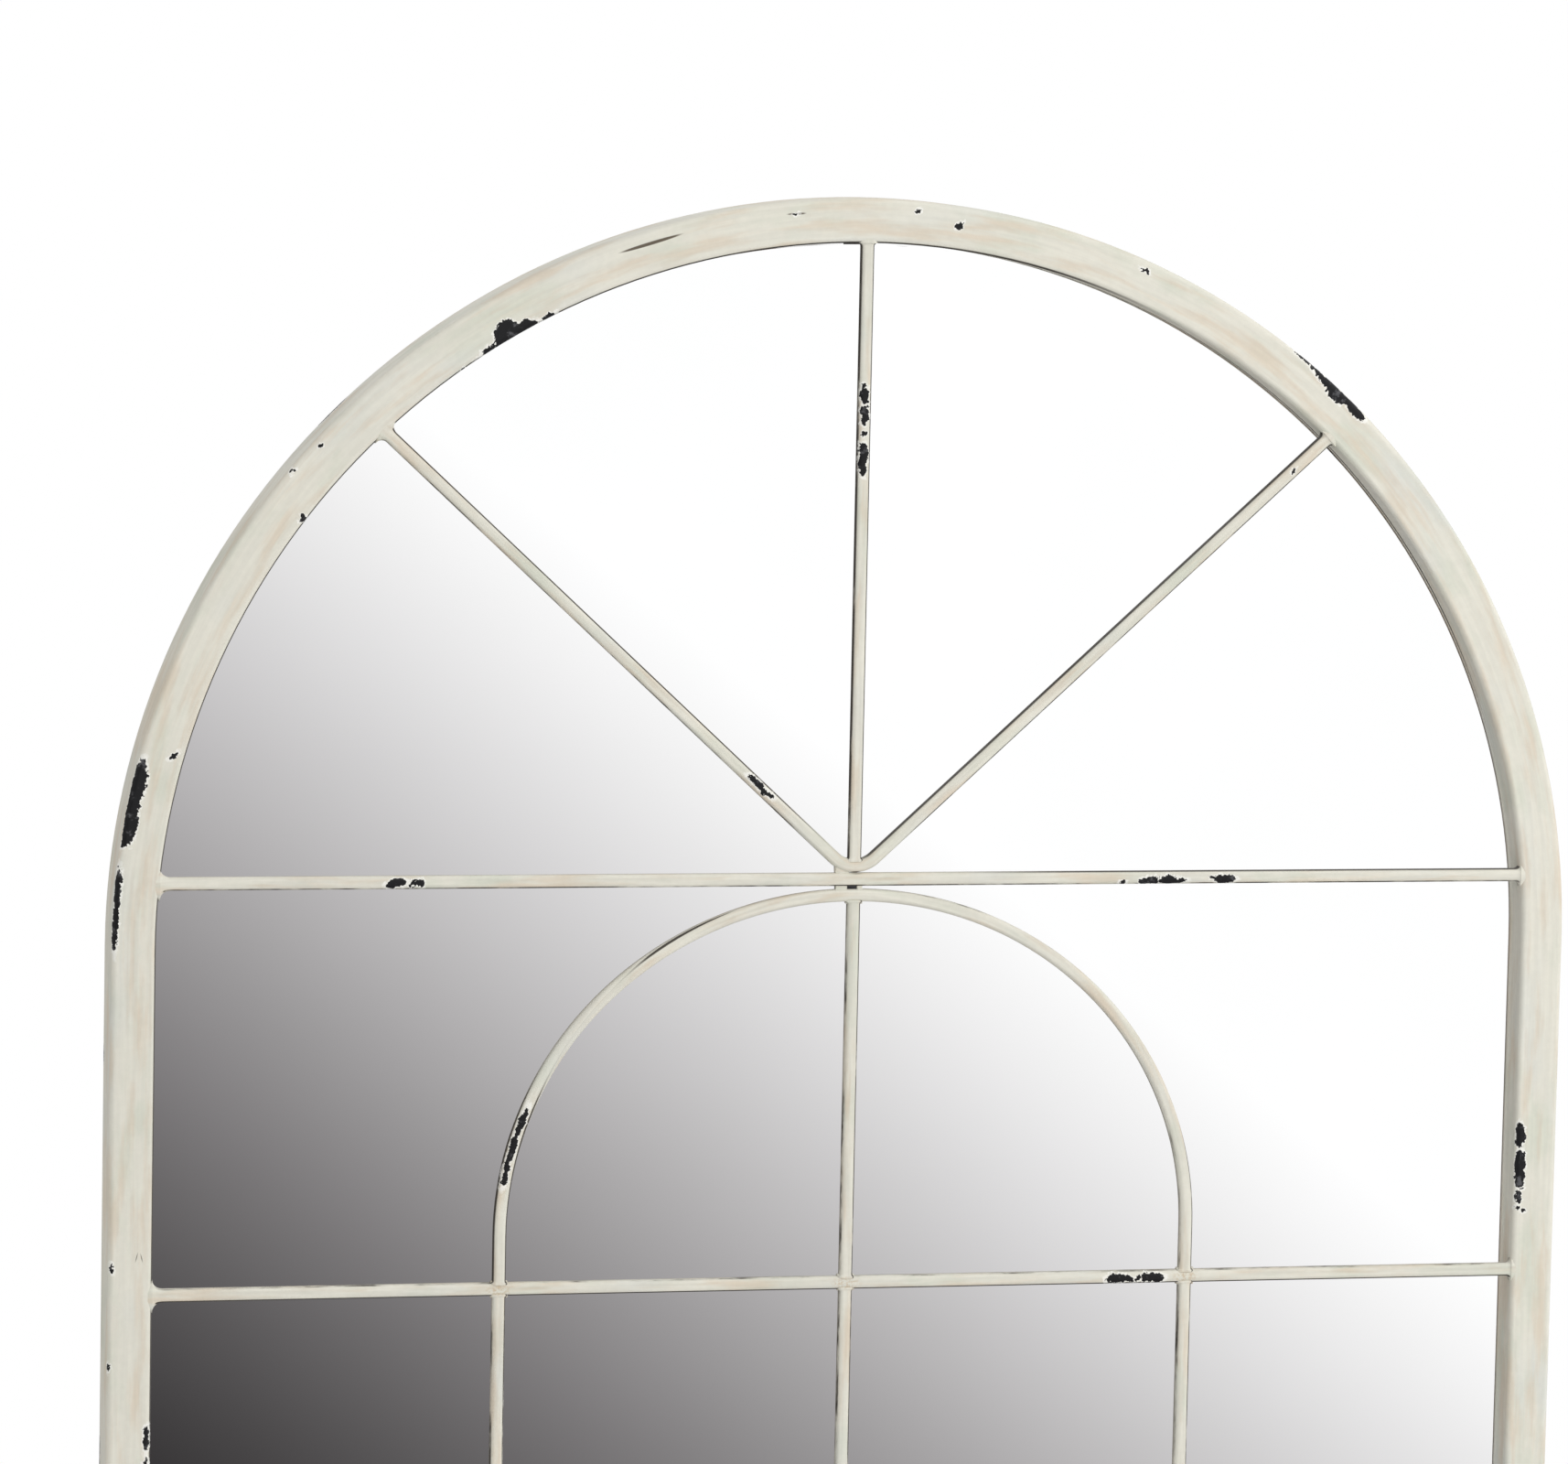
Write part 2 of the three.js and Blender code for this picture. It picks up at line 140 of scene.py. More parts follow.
ROWS = 4
cross_heights = [middle_height(f"cross_bar_{row}") for row in range(1, ROWS)]
row_pitch = cross_heights[0] - cross_heights[1]
transom_z = cross_heights[0] + row_pitch
inner_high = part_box("inner_arch_bar")[1]
inner_half = inner_high.x - bar / 2
inner_spring_z = inner_high.z - bar / 2 - INNER_ARCH_RISE
v_apex_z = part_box("v_bar")[0].z + bar / 2
v_bend_z = v_apex_z + V_BEND_RADIUS
print(f"bars {bar / MM:.2f} mm, transom at {transom_z:.4f} m, cross bars at {cross_heights}")

# %% [markdown]
# ## Modelling helpers
#
# Every piece starts as a primitive and is shaped in edit mode. An operator acts on whatever is
# selected, so the two things that every step needs are a way to make one piece the only active
# one, and a way to select faces, edges or points by where they are.

# %% Choosing what an operator works on
def only(piece):
    """Leaves this piece selected and active, and nothing else."""
    bpy.ops.object.select_all(action="DESELECT")
    piece.select_set(True)
    bpy.context.view_layer.objects.active = piece


def edit(piece):
    only(piece)
    bpy.ops.object.mode_set(mode="EDIT")


def leave_edit():
    bpy.ops.object.mode_set(mode="OBJECT")


def middle(part):
    """The middle of a face, an edge or a point of an edited mesh."""
    points = [part] if isinstance(part, bmesh.types.BMVert) else part.verts
    return sum((point.co for point in points), Vector()) / len(points)


def pick(piece, kind, test):
    """Selects the faces, edges or points of the edited piece for which the test holds."""
    bpy.ops.mesh.select_mode(type=kind)
    bpy.ops.mesh.select_all(action="DESELECT")
    mesh = bmesh.from_edit_mesh(piece.data)
    parts = {"VERT": mesh.verts, "EDGE": mesh.edges, "FACE": mesh.faces}[kind]
    chosen = [part for part in parts if test(part)]
    for part in chosen:
        part.select_set(True)
    mesh.select_flush_mode()
    bmesh.update_edit_mesh(piece.data)
    return len(chosen)


def near(a, b, slack=0.02 * MM):
    return abs(a - b) < slack


# %% Shaping what is selected
def select_everything():
    bpy.ops.mesh.select_all(action="SELECT")


def push(x=0, y=0, z=0):
    """Extrudes the selection and moves its new end."""
    bpy.ops.mesh.extrude_region_move(TRANSFORM_OT_translate={"value": (x, y, z)})


def round_off(radius, segments, affect="EDGES"):
    bpy.ops.mesh.bevel(offset=radius, segments=segments, affect=affect)


# %% Starting and finishing a piece
def settle(piece):
    """Moves a piece's place, turn and scale into its mesh, so its object is at the origin."""
    only(piece)
    bpy.ops.object.transform_apply(location=True, rotation=True, scale=True)


def begin(operator, name, scale=(1, 1, 1), **settings):
    """A primitive with a name, scaled and then settled."""
    bpy.ops.object.select_all(action="DESELECT")
    operator(**settings)
    piece = bpy.context.active_object
    piece.name = piece.data.name = name
    piece.scale = scale
    settle(piece)
    return piece


def block(name, location, size):
    return begin(bpy.ops.mesh.primitive_cube_add, name, size, size=1, location=location)


def apply_modifier(piece, kind, **settings):
    only(piece)
    modifier = piece.modifiers.new(kind.lower(), kind)
    for setting, value in settings.items():
        setattr(modifier, setting, value)
    bpy.ops.object.modifier_apply(modifier=modifier.name)


def close_up(piece, merge=0.001 * MM):
    """Merges doubled points and turns every face outwards."""
    edit(piece)
    select_everything()
    bpy.ops.mesh.remove_doubles(threshold=merge)
    bpy.ops.mesh.normals_make_consistent(inside=False)
    leave_edit()


SHARP_ANGLE = math.radians(40)


def smooth(piece):
    """Smooth shading that keeps the large flat faces flat."""
    only(piece)
    bpy.ops.object.shade_smooth_by_angle(angle=SHARP_ANGLE)
    apply_modifier(piece, "WEIGHTED_NORMAL", keep_sharp=True)


def copy_of(piece, name, turn, place):
    """A copy that is turned about Y and moved to a place."""
    twin = piece.copy()
    twin.data = piece.data.copy()
    twin.name = twin.data.name = name
    scene.collection.objects.link(twin)
    twin.rotation_euler = (0, turn, 0)
    twin.location = place
    settle(twin)
    return twin


def delete(piece):
    bpy.data.objects.remove(piece)


def join(pieces, name):
    """One mesh from several. The first piece keeps its settings."""
    bpy.ops.object.select_all(action="DESELECT")
    for piece in pieces:
        piece.select_set(True)
    bpy.context.view_layer.objects.active = pieces[0]
    bpy.ops.object.join()
    whole = bpy.context.active_object
    whole.name = whole.data.name = name
    return whole


# %% [markdown]
# A painted bar shows long soft streaks that follow it round every bend. For that, each point
# stores how far along its bar it is, how far across and how deep, in an attribute that is called
# `lay`. It is written while a bar still stands upright, before it is turned into its place.

# %% The lay of a bar
LAY_STEP = 0.2  # m, which keeps two bars from looking alike


def write_lay(piece, rule):
    """Stores (along, across, deep) for each point, in metres, as the rule says."""
    layer = piece.data.attributes.new("lay", "FLOAT_VECTOR", "POINT")
    for point, value in zip(piece.data.vertices, layer.data):
        value.vector = rule(point.co)


def upright_lay(shift):
    """The rule for a bar that stands on the origin. Each bar has a shift of its own."""
    return lambda point: (point.z + LAY_STEP * shift, point.x, point.y)


def level_lay(shift):
    """The rule for what lies level in its place, such as the rail and the lumps of weld."""
    return lambda point: (point.x + shift, point.z, point.y)


def arch_lay(spring, radius, shift, left_way):
    """The rule for an arch on two legs. The left leg runs on with -1, or folds back with 1."""
    def rule(point):
        rise = point.z - spring
        if rise < 0:
            along = math.pi * radius + left_way * rise if point.x < 0 else rise
            return (along + shift, abs(point.x) - radius, point.y)
        along = math.atan2(rise, point.x) * radius
        return (along + shift, math.hypot(point.x, rise) - radius, point.y)

    return rule


# %% [markdown]
# ## The tube frame
#
# The real frame is one length of rectangular tube, rolled to an arch between two straight legs,
# and a bottom rail that is mitred to them. It could be a swept curve, but a spin is closer to the
# workshop: the section is drawn once, with its rounded corners and its hollow, spun half a turn
# about the middle of the arch, and pushed straight down for the legs. Both legs and the rail are
# then cut on the same 45 degree planes.

# %% The section of the tube
CORNER_STEPS = 5
ARCH_STEPS = 120


def tube_section(name, location, rotation):
    """A flat rounded ring: the tube seen from its end."""
    ring = begin(bpy.ops.mesh.primitive_plane_add, name, (tube_face, tube_depth, 1),
                 size=1, location=location, rotation=rotation)
    edit(ring)
    select_everything()
    round_off(TUBE_CORNER, CORNER_STEPS, "VERTICES")
    select_everything()
    bpy.ops.mesh.inset(thickness=TUBE_WALL)
    bpy.ops.mesh.delete(type="FACE")
    return ring


def cut_mitre(tube, side, keep_above):
    """Cuts the tube on the mitre plane of one corner and closes its end again."""
    # The plane goes on to the other side of the frame, so only this side's leg is selected.
    pick(tube, "FACE", lambda face: middle(face).x * side > 0 or not keep_above)
    slope = Vector((side, 0, 1)) if keep_above else Vector((-side, 0, -1))
    corner = Vector((side * tube_radius, 0, 0))
    bpy.ops.mesh.bisect(plane_co=corner, plane_no=slope, clear_inner=True)

    def on_plane(edge):
        return all(near((point.co - corner).dot(slope), 0) for point in edge.verts)

    pick(tube, "EDGE", on_plane)
    bpy.ops.mesh.bridge_edge_loops()


# %% Spin the arch, push the legs down
outer_frame = tube_section(
    "painted_frame", (-tube_radius, tube_middle_y, spring_z), (0, 0, 0)
)
select_everything()
bpy.ops.mesh.spin(
    steps=ARCH_STEPS, angle=-math.pi, center=(0, tube_middle_y, spring_z), axis=(0, 1, 0)
)


def at_spring(face):
    return near(middle(face).z, spring_z) and abs(face.normal.z) > 0.99


feet = pick(outer_frame, "FACE", at_spring)
leg_length = spring_z + 2 * tube_face  # past the mitre, which cuts it back
push(z=-leg_length)
for side in (-1, 1):
    cut_mitre(outer_frame, side, keep_above=True)
leave_edit()
close_up(outer_frame)
print(f"frame: {feet} end faces pushed down, {len(outer_frame.data.polygons)} faces")

# %% The bottom rail
bottom_rail = tube_section(
    "painted_bottom_rail", (-half_width - tube_face, tube_middle_y, 0), (0, math.pi / 2, 0)
)
select_everything()
push(x=2 * (half_width + tube_face))
for side in (-1, 1):
    cut_mitre(bottom_rail, side, keep_above=False)
leave_edit()
close_up(bottom_rail)
print(f"rail: {len(bottom_rail.data.polygons)} faces, {2 * half_width:.3f} m long")


# %% The lay of the tube
FRAME_SHIFT = 7  # m, picked so that the tan patches fall about where the photograph has them
RAIL_SHIFT = 3

write_lay(outer_frame, arch_lay(spring_z, tube_radius, FRAME_SHIFT, 1))
write_lay(bottom_rail, level_lay(RAIL_SHIFT))
print(f"lay written on {len(outer_frame.data.vertices) + len(bottom_rail.data.vertices)} points")

# %% [markdown]
# ## The bars
#
# Each bar is a square rod with soft edges. Where it meets the frame, the weld spreads it: the
# silhouette runs out in a hollow curve, and the front rises until it is flush with the face of
# the tube. A separate lump of weld would show a seam, so the bar's own end face is pushed out in
# short steps, and each step is wider than the last by the formula of a quarter circle.

# %% A bar with weld fillets
FILLET_STEPS = 6
FLUSH_GAP = 0.05 * MM  # the weld stays this far behind the face of the tube
SINK = 1.2 * MM  # how far a bar runs into the wall that it is welded to
WELD_SWELL = 1.04  # how much thicker than the bar a weld is that isn't flush
SINK_TAPER = 0.97  # how much narrower a weld gets with each half of its sinking
FACE_TAPER = 0.7  # and where a flush weld runs over the tube's round edge


def push_end(piece, axis_x, level, step, widen, thicken):
    """Pushes the selected end face on, then scales it about the middle of the bar's back."""
    push(z=step)
    bpy.ops.transform.resize(
        value=(widen, thicken, 1), center_override=(axis_x, bar_back_y, level + step)
    )
    return level + step


def weld_end(piece, axis_x, level, toward, radius, flush):
    """Spreads the end face at this level into a weld and sinks it in the wall beyond."""
    pick(piece, "FACE", lambda face: near(middle(face).z, level)
         and abs(face.normal.z) > 0.9 and near(middle(face).x, axis_x, bar))
    half = bar / 2
    thickness = bar
    full_thickness = bar_back_y - front_y - FLUSH_GAP if flush else bar * WELD_SWELL
    travelled = 0
    for step in range(1, FILLET_STEPS + 1):
        turn = math.pi / 2 * step / FILLET_STEPS
        next_half = bar / 2 + radius * (1 - math.cos(turn))
        next_thickness = bar + (full_thickness - bar) * (1 - math.cos(turn))
        rise = radius * math.sin(turn) - travelled
        travelled += rise
        level = push_end(
            piece, axis_x, level, toward * rise, next_half / half, next_thickness / thickness
        )
        half = next_half
        thickness = next_thickness
    level = push_end(piece, axis_x, level, toward * SINK / 2, SINK_TAPER, 1)
    if flush:
        # The tube's edge is round, so the weld runs on over it and narrows towards the face.
        push_end(piece, axis_x, level, toward * TUBE_CORNER, FACE_TAPER, 1)
    else:
        push_end(piece, axis_x, level, toward * SINK / 2, SINK_TAPER, 1)


def upright_rod(name, length, foot_weld=0, head_weld=0, foot_flush=False, head_flush=False):
    """A rounded square rod from z = 0 up, with a weld of the given radius at each end."""
    straight = length - foot_weld - head_weld
    rod = block(name, (0, bar_y, foot_weld + straight / 2), (bar, bar, straight))
    edit(rod)
    pick(rod, "EDGE", lambda edge: near(edge.verts[0].co.x, edge.verts[1].co.x)
         and near(edge.verts[0].co.y, edge.verts[1].co.y))
    round_off(BAR_CORNER, CORNER_STEPS)
    if head_weld:
        weld_end(rod, 0, length - head_weld, 1, head_weld, head_flush)
    if foot_weld:
        weld_end(rod, 0, foot_weld, -1, foot_weld, foot_flush)
    leave_edit()
    return rod


def place_rod(rod, foot, heading, lay_rule):
    """Writes the lay of an upright rod and turns it to run from its foot in a direction (x, z)."""
    write_lay(rod, lay_rule)
    rod.rotation_euler = (0, math.atan2(heading[0], heading[1]), 0)
    rod.location = (foot[0], 0, foot[1])
    settle(rod)
    close_up(rod)
    return rod


# %% [markdown]
# The transom and the cross bars are welded to the tube at both ends. In the photograph their left
# ends have wide fillets and their right ends narrow ones. The opening is a little narrower at the
# transom, because the arch has already begun to close there.

# %% Transom and cross bars
LEFT_WELD = 6 * MM
RIGHT_WELD = 3 * MM
JOINT_WELD = 1.5 * MM  # where a bar meets another bar


def wall_x(z):
    """Half the width of the opening at a height."""
    rise = max(0, z - spring_z)
    return math.sqrt(opening_half**2 - rise**2)


def across_bar(name, z, shift):
    reach = wall_x(z)
    rod = upright_rod(name, 2 * reach, LEFT_WELD, RIGHT_WELD, True, True)
    return place_rod(rod, (-reach, z), (1, 0), upright_lay(shift))


bars = {"transom_bar": across_bar("painted_transom", transom_z, 0)}
for row, height in enumerate(cross_heights, start=1):
    bars[f"cross_bar_{row}"] = across_bar(f"painted_cross_bar_{row}", height, row)
print(f"{len(bars)} bars right across, {2 * wall_x(transom_z):.4f} m at the transom")

# %% Uprights
def standing_bar(name, x, foot_z, head_z, shift, foot_weld=JOINT_WELD, foot_flush=False):
    rod = upright_rod(name, head_z - foot_z, foot_weld, JOINT_WELD, foot_flush)
    return place_rod(rod, (x, foot_z), (0, 1), upright_lay(shift))


crown_z = inner_spring_z + INNER_ARCH_RISE
bars["centre_upright_1"] = standing_bar(
    "painted_centre_upright_1", 0, cross_heights[0] + bar / 2, crown_z - bar / 2, 4
)
columns = {"left": -inner_half, "centre": 0, "right": inner_half}
for row in range(2, ROWS + 1):
    head_z = cross_heights[row - 2] - bar / 2
    on_rail = row == ROWS
    foot_z = rail_top_z if on_rail else cross_heights[row - 1] + bar / 2
    foot_weld = LEFT_WELD if on_rail else JOINT_WELD
    for number, (column, x) in enumerate(columns.items()):
        node = f"{column}_upright_{row}"
        shift = 5 + 3 * row + number
        bars[node] = standing_bar(f"painted_{node}", x, foot_z, head_z, shift, foot_weld, on_rail)
print(f"{len(bars)} straight bars so far")

# %% [markdown]
# The V is one bar, bent at its foot and cut where its arms meet the arch. Half of it is an upright
# rod whose foot is spun on through the bend. Turned to its slope, its cut face lies in the middle
# of the mirror, so the two halves meet there and are merged into one bar. They are built one by
# one, because the weld on the left arm is wider than the one on the right.

# %% The V bar
BEND_STEPS = 10
V_SHIFT = 6  # m, of its lay
V_LEFT_WELD = 5 * MM
V_RIGHT_WELD = 3 * MM

arm_start = Vector(
    (V_BEND_RADIUS * math.sin(V_SLOPE), v_bend_z - V_BEND_RADIUS * math.cos(V_SLOPE))
)
arm_heading = Vector((math.cos(V_SLOPE), math.sin(V_SLOPE)))
from_spring = arm_start - Vector((0, spring_z))
half_sum = from_spring.dot(arm_heading)
arm_length = math.sqrt(half_sum**2 - from_spring.length_squared + opening_half**2) - half_sum


def v_lay(point):
    """Along the arm, then round the bend below it, whose middle is one radius to the left."""
    if point.z > 0:
        return (point.z + V_SHIFT, point.x, point.y)
    out = math.hypot(point.x + V_BEND_RADIUS, point.z)
    turn = math.atan2(point.z, point.x + V_BEND_RADIUS)
    return (turn * V_BEND_RADIUS + V_SHIFT, out - V_BEND_RADIUS, point.y)


def v_half(side, weld):
    rod = upright_rod("v_half", arm_length, head_weld=weld, head_flush=True)
    edit(rod)
    pick(rod, "FACE", lambda face: near(middle(face).z, 0) and abs(face.normal.z) > 0.9)
    bpy.ops.mesh.spin(
        steps=BEND_STEPS, angle=-V_SLOPE, center=(-V_BEND_RADIUS, bar_y, 0), axis=(0, 1, 0)
    )
    bpy.ops.mesh.delete(type="FACE")
    leave_edit()
    place_rod(rod, arm_start, arm_heading, v_lay)
    rod.scale.x = side
    settle(rod)
    return rod


bars["v_bar"] = join([v_half(-1, V_LEFT_WELD), v_half(1, V_RIGHT_WELD)], "painted_v_bar")
close_up(bars["v_bar"], merge=0.05 * MM)
v_low = min(point.co.z for point in bars["v_bar"].data.vertices)
print(f"V arms {arm_length / MM:.1f} mm long, lowest point {v_low:.4f} m, apex {v_apex_z:.4f} m")

# %% The upper centre bar
TOP_WELD = 2 * MM
v_inside_z = v_apex_z + bar / 2
upper_length = frame_high.z - tube_face - v_inside_z
upper_rod = upright_rod(
    "painted_upper_centre_bar", upper_length, JOINT_WELD, TOP_WELD, head_flush=True
)
bars["upper_centre_bar"] = place_rod(upper_rod, (0, v_inside_z), (0, 1), upright_lay(40))

# %% [markdown]
# The inner arch is one bent bar on two short legs. Its bend is a little flatter than a half
# circle. So the section is spun in a true half circle first, and the spun part is then pressed
# down to its real rise before the legs are pushed out of its two ends.

# %% The inner arch
INNER_STEPS = 96
INNER_SHIFT = 2  # m, of its lay
inner_foot_z = cross_heights[0] + bar / 2

inner_arch = upright_rod("painted_inner_arch", bar)
inner_arch.location = (-inner_half, 0, inner_spring_z - bar)
settle(inner_arch)
edit(inner_arch)
pick(inner_arch, "FACE",
     lambda face: near(middle(face).z, inner_spring_z) and face.normal.z > 0.9)
bpy.ops.mesh.spin(
    steps=INNER_STEPS, angle=-math.pi, center=(0, bar_y, inner_spring_z), axis=(0, 1, 0)
)
pick(inner_arch, "VERT", lambda point: point.co.z > inner_spring_z + 0.01 * MM)
press = (INNER_ARCH_RISE + bar / 2) / (inner_half + bar / 2)
bpy.ops.transform.resize(value=(1, 1, press), center_override=(0, bar_y, inner_spring_z))
pick(inner_arch, "FACE", lambda face: middle(face).x > 0 and face.normal.z < -0.99
     and near(middle(face).z, inner_spring_z))
push(z=-bar)
foot_level = inner_spring_z - bar
pick(inner_arch, "FACE",
     lambda face: near(middle(face).z, foot_level) and face.normal.z < -0.99)
leg = foot_level - inner_foot_z - JOINT_WELD
push(z=-leg)
for axis_x in (-inner_half, inner_half):
    weld_end(inner_arch, axis_x, inner_foot_z + JOINT_WELD, -1, JOINT_WELD, False)
leave_edit()
close_up(inner_arch)
write_lay(inner_arch, arch_lay(inner_spring_z, inner_half, INNER_SHIFT, -1))
bars["inner_arch_bar"] = inner_arch
print(f"{len(bars)} bars, inner arch crown at {crown_z:.4f} m")

# %% [markdown]
# ## Welds
#
# Welds are lumps of metal that ran and froze, so each one starts as a block in the gap that it
# fills, is cut fine, rounded, and then shaken a little with a fixed seed. Three of them fill gaps
# at the crown of the inner arch and in the corner of the V. The rest are small beads in the
# corners where two bars meet, which the photograph shows as soft swellings under the paint.

# %% Three welds that fill gaps
WELD_SHIFT = 4


def shake(piece, cuts, amount, seed):
    """Cuts a block fine, rounds it and moves its points at random, the same way each time."""
    edit(piece)
    select_everything()
    bpy.ops.mesh.subdivide(number_cuts=cuts)
    bpy.ops.mesh.vertices_smooth(factor=0.5, repeat=2)
    bpy.ops.transform.vertex_random(offset=amount, uniform=1, seed=seed)
    bpy.ops.mesh.vertices_smooth(factor=0.4, repeat=1)
    leave_edit()


def gap_weld(node, name, overlap, seed):
    """A lump that fills a weld's solid and runs a little into the bars above and below it."""
    low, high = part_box(node)
    lump = block(name, (low + high) / 2, high - low + Vector((0, 0, 2 * overlap)))
    shake(lump, 5, 0.25 * MM, seed)
    write_lay(lump, level_lay(WELD_SHIFT))
    return lump


GAP_WELDS = {  # name, overlap with the bars, seed
    "crown_weld_1": ("painted_crown_weld_left", 1.2 * MM, 1),
    "crown_weld_2": ("painted_crown_weld_right", 1.2 * MM, 2),
    "v_weld": ("painted_v_weld", 0.8 * MM, 3),
}
welds = {node: gap_weld(node, *settings) for node, settings in GAP_WELDS.items()}
print(f"{len(welds)} welds in gaps")

# %% A dark block in the gap between the two crown welds
left_low, left_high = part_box("crown_weld_1")
right_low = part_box("crown_weld_2")[0]
root_gap = right_low.x - left_high.x
# Painted shade: a dark lump fills the gap between the crown welds, so the gap looks dark and
# doesn't show the mirror.
crown_gap_shade = block(
    "crown_gap_shade_block",
    ((left_high.x + right_low.x) / 2, bar_y + 0.5 * MM, (left_low.z + left_high.z) / 2),
    (root_gap + MM, 4 * MM, left_high.z - left_low.z + 2 * MM),
)
shake(crown_gap_shade, 4, 0.15 * MM, 5)
print(f"root {root_gap / MM:.1f} mm wide")

# %% Beads in the corners where bars meet
BEAD = Vector((2.6, 4.2, 2.2)) * MM
BEAD_OFFSET = bar / 2 + 0.2 * MM  # from the middle of a bar
BEAD_SHIFT = 5

joint_places = [(x, height, (-1, 1)) for height in cross_heights for x in columns.values()]
joint_places.append((0, crown_z, (-1,)))
draw = random.Random(7)
beads = []
for x, height, rows in joint_places:
    for above in rows:
        for side in (-1, 1):
            place = (x + side * BEAD_OFFSET, bar_y, height + above * BEAD_OFFSET)
            bead = block("bead", place, BEAD * draw.uniform(0.7, 1.15))
            shake(bead, 3, 0.15 * MM, draw.randrange(1000))
            beads.append(bead)
joint_beads = join(beads, "painted_joint_beads")
write_lay(joint_beads, level_lay(BEAD_SHIFT))
print(f"{len(beads)} beads in one piece, {len(joint_beads.data.polygons)} faces")

# %% [markdown]
# ## Mirror sheet
#
# The sheet has the outline of the opening, drawn in by a small clearance. A disc gives the round
# top exactly: its lower half is cut off, the straight cut is pushed down to the foot, and the flat
# outline is pushed back by the thickness of the glass. A narrow bevel stands for the seam that a
# glass cutter grinds along the front edge, so that the edge isn't sharp.

# %% The mirror
SEAMED_EDGE = 0.6 * MM
DISC_STEPS = 240

glass_low, glass_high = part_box("mirror_glass")


def arched_sheet(name, low, high):
    cut_z = high.z - high.x
    sheet = begin(bpy.ops.mesh.primitive_circle_add, name, vertices=DISC_STEPS, radius=high.x,
                  fill_type="NGON", location=(0, high.y, cut_z), rotation=(math.pi / 2, 0, 0))
    edit(sheet)
    select_everything()
    bpy.ops.mesh.bisect(plane_co=(0, 0, cut_z), plane_no=(0, 0, 1), clear_inner=True)
    pick(sheet, "EDGE", lambda edge: all(near(point.co.z, cut_z) for point in edge.verts))
    push(z=low.z - cut_z)
    select_everything()
    push(y=low.y - high.y)
    leave_edit()
    close_up(sheet)
    return sheet


mirror = arched_sheet("mirror_sheet", glass_low, glass_high)
edit(mirror)
rim = pick(mirror, "EDGE", lambda edge: near(middle(edge).y, glass_low.y)
           and any(abs(face.normal.y) < 0.1 for face in edge.link_faces))
round_off(SEAMED_EDGE, 2)
leave_edit()
print(f"mirror: {rim} edges of its front rim ground, {len(mirror.data.polygons)} faces")

# %% [markdown]
# ## Behind the mirror
#
# Nine steel tabs are welded inside the frame, and one screw through each holds the board. One tab
# and one screw are modelled at the origin, the tab standing on its welded end, and copies of them
# are turned to the places of the solids. A boolean drills the hole and cuts the cross in the head
# of the screw, as a drill and a punch would.

# %% One tab and one screw
TAB_CORNER = 4 * MM
TAB_HOLE_REACH = 11 * MM  # from the frame's wall to the middle of the hole
TAB_HOLE = 2.2 * MM
TAB_LENGTH = 18 * MM
SOFT_EDGE = 0.3 * MM
HEAD_HEIGHT = 2 * MM
HEAD_ROUNDING = 1.1 * MM
SHANK_RADIUS = 1.6 * MM
CROSS_WIDTH = 0.9 * MM
CROSS_LENGTH = 4.4 * MM
CROSS_DEPTH = 1.1 * MM

tab_low, tab_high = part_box("frame_lug_1")
screw_low, screw_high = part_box("lug_screw_1")
tab_width = tab_high.x - tab_low.x
tab_thickness = tab_high.y - tab_low.y
tab_y = (tab_low.y + tab_high.y) / 2
head_radius = (screw_high.x - screw_low.x) / 2


def cut_away(piece, tool):
    apply_modifier(piece, "BOOLEAN", operation="DIFFERENCE", object=tool, solver="EXACT")
    delete(tool)


def soften(piece):
    """Rounds every sharp edge of a plate by a small amount."""
    apply_modifier(
        piece, "BEVEL", width=SOFT_EDGE, segments=2, limit_method="ANGLE", angle_limit=0.9
    )


def peg(radius, from_y, to_y, x=0, z=0):
    """A round bar along Y, used as a drill."""
    return begin(
        bpy.ops.mesh.primitive_cylinder_add, "peg", vertices=48, radius=radius,
        depth=to_y - from_y, location=(x, (from_y + to_y) / 2, z), rotation=(math.pi / 2, 0, 0),
    )


def make_tab():
    tab = block("tab", (0, tab_y, TAB_LENGTH / 2), (tab_width, tab_thickness, TAB_LENGTH))
    edit(tab)
    pick(tab, "EDGE",
         lambda edge: near(middle(edge).z, TAB_LENGTH) and near(middle(edge).y, tab_y))
    round_off(TAB_CORNER, 6)
    leave_edit()
    cut_away(tab, peg(TAB_HOLE, tab_low.y - MM, tab_high.y + MM, z=TAB_HOLE_REACH))
    soften(tab)
    weld_size = (0.42 * tab_width, 1.7 * tab_thickness, 2.6 * MM)
    for side in (-1, 1):
        weld = block("tab_weld", (side * tab_width / 4, tab_y, 0), weld_size)
        shake(weld, 4, 0.2 * MM, 20 + side)
        tab = join([tab, weld], "tab")
    return tab


def make_screw():
    """A round head over a shank that ends in a point, then the cross is cut into the head."""
    seat_y = screw_high.y - HEAD_HEIGHT
    screw = peg(head_radius, seat_y, screw_high.y)
    edit(screw)
    pick(screw, "EDGE", lambda edge: near(middle(edge).y, screw_high.y, 0.1 * MM)
         and len(edge.link_faces) == 2)
    round_off(HEAD_ROUNDING, 5)
    pick(screw, "FACE", lambda face: near(middle(face).y, seat_y) and face.normal.y < -0.9)
    bpy.ops.mesh.inset(thickness=head_radius - SHANK_RADIUS)
    push(y=screw_low.y - seat_y + SHANK_RADIUS)
    push(y=-SHANK_RADIUS)
    bpy.ops.transform.resize(value=(0.1, 1, 0.1), center_override=(0, screw_low.y, 0))
    leave_edit()
    for wide, tall in ((CROSS_LENGTH, CROSS_WIDTH), (CROSS_WIDTH, CROSS_LENGTH)):
        cut_away(screw, block("blade", (0, screw_high.y, 0), (wide, 2 * CROSS_DEPTH, tall)))
    return screw


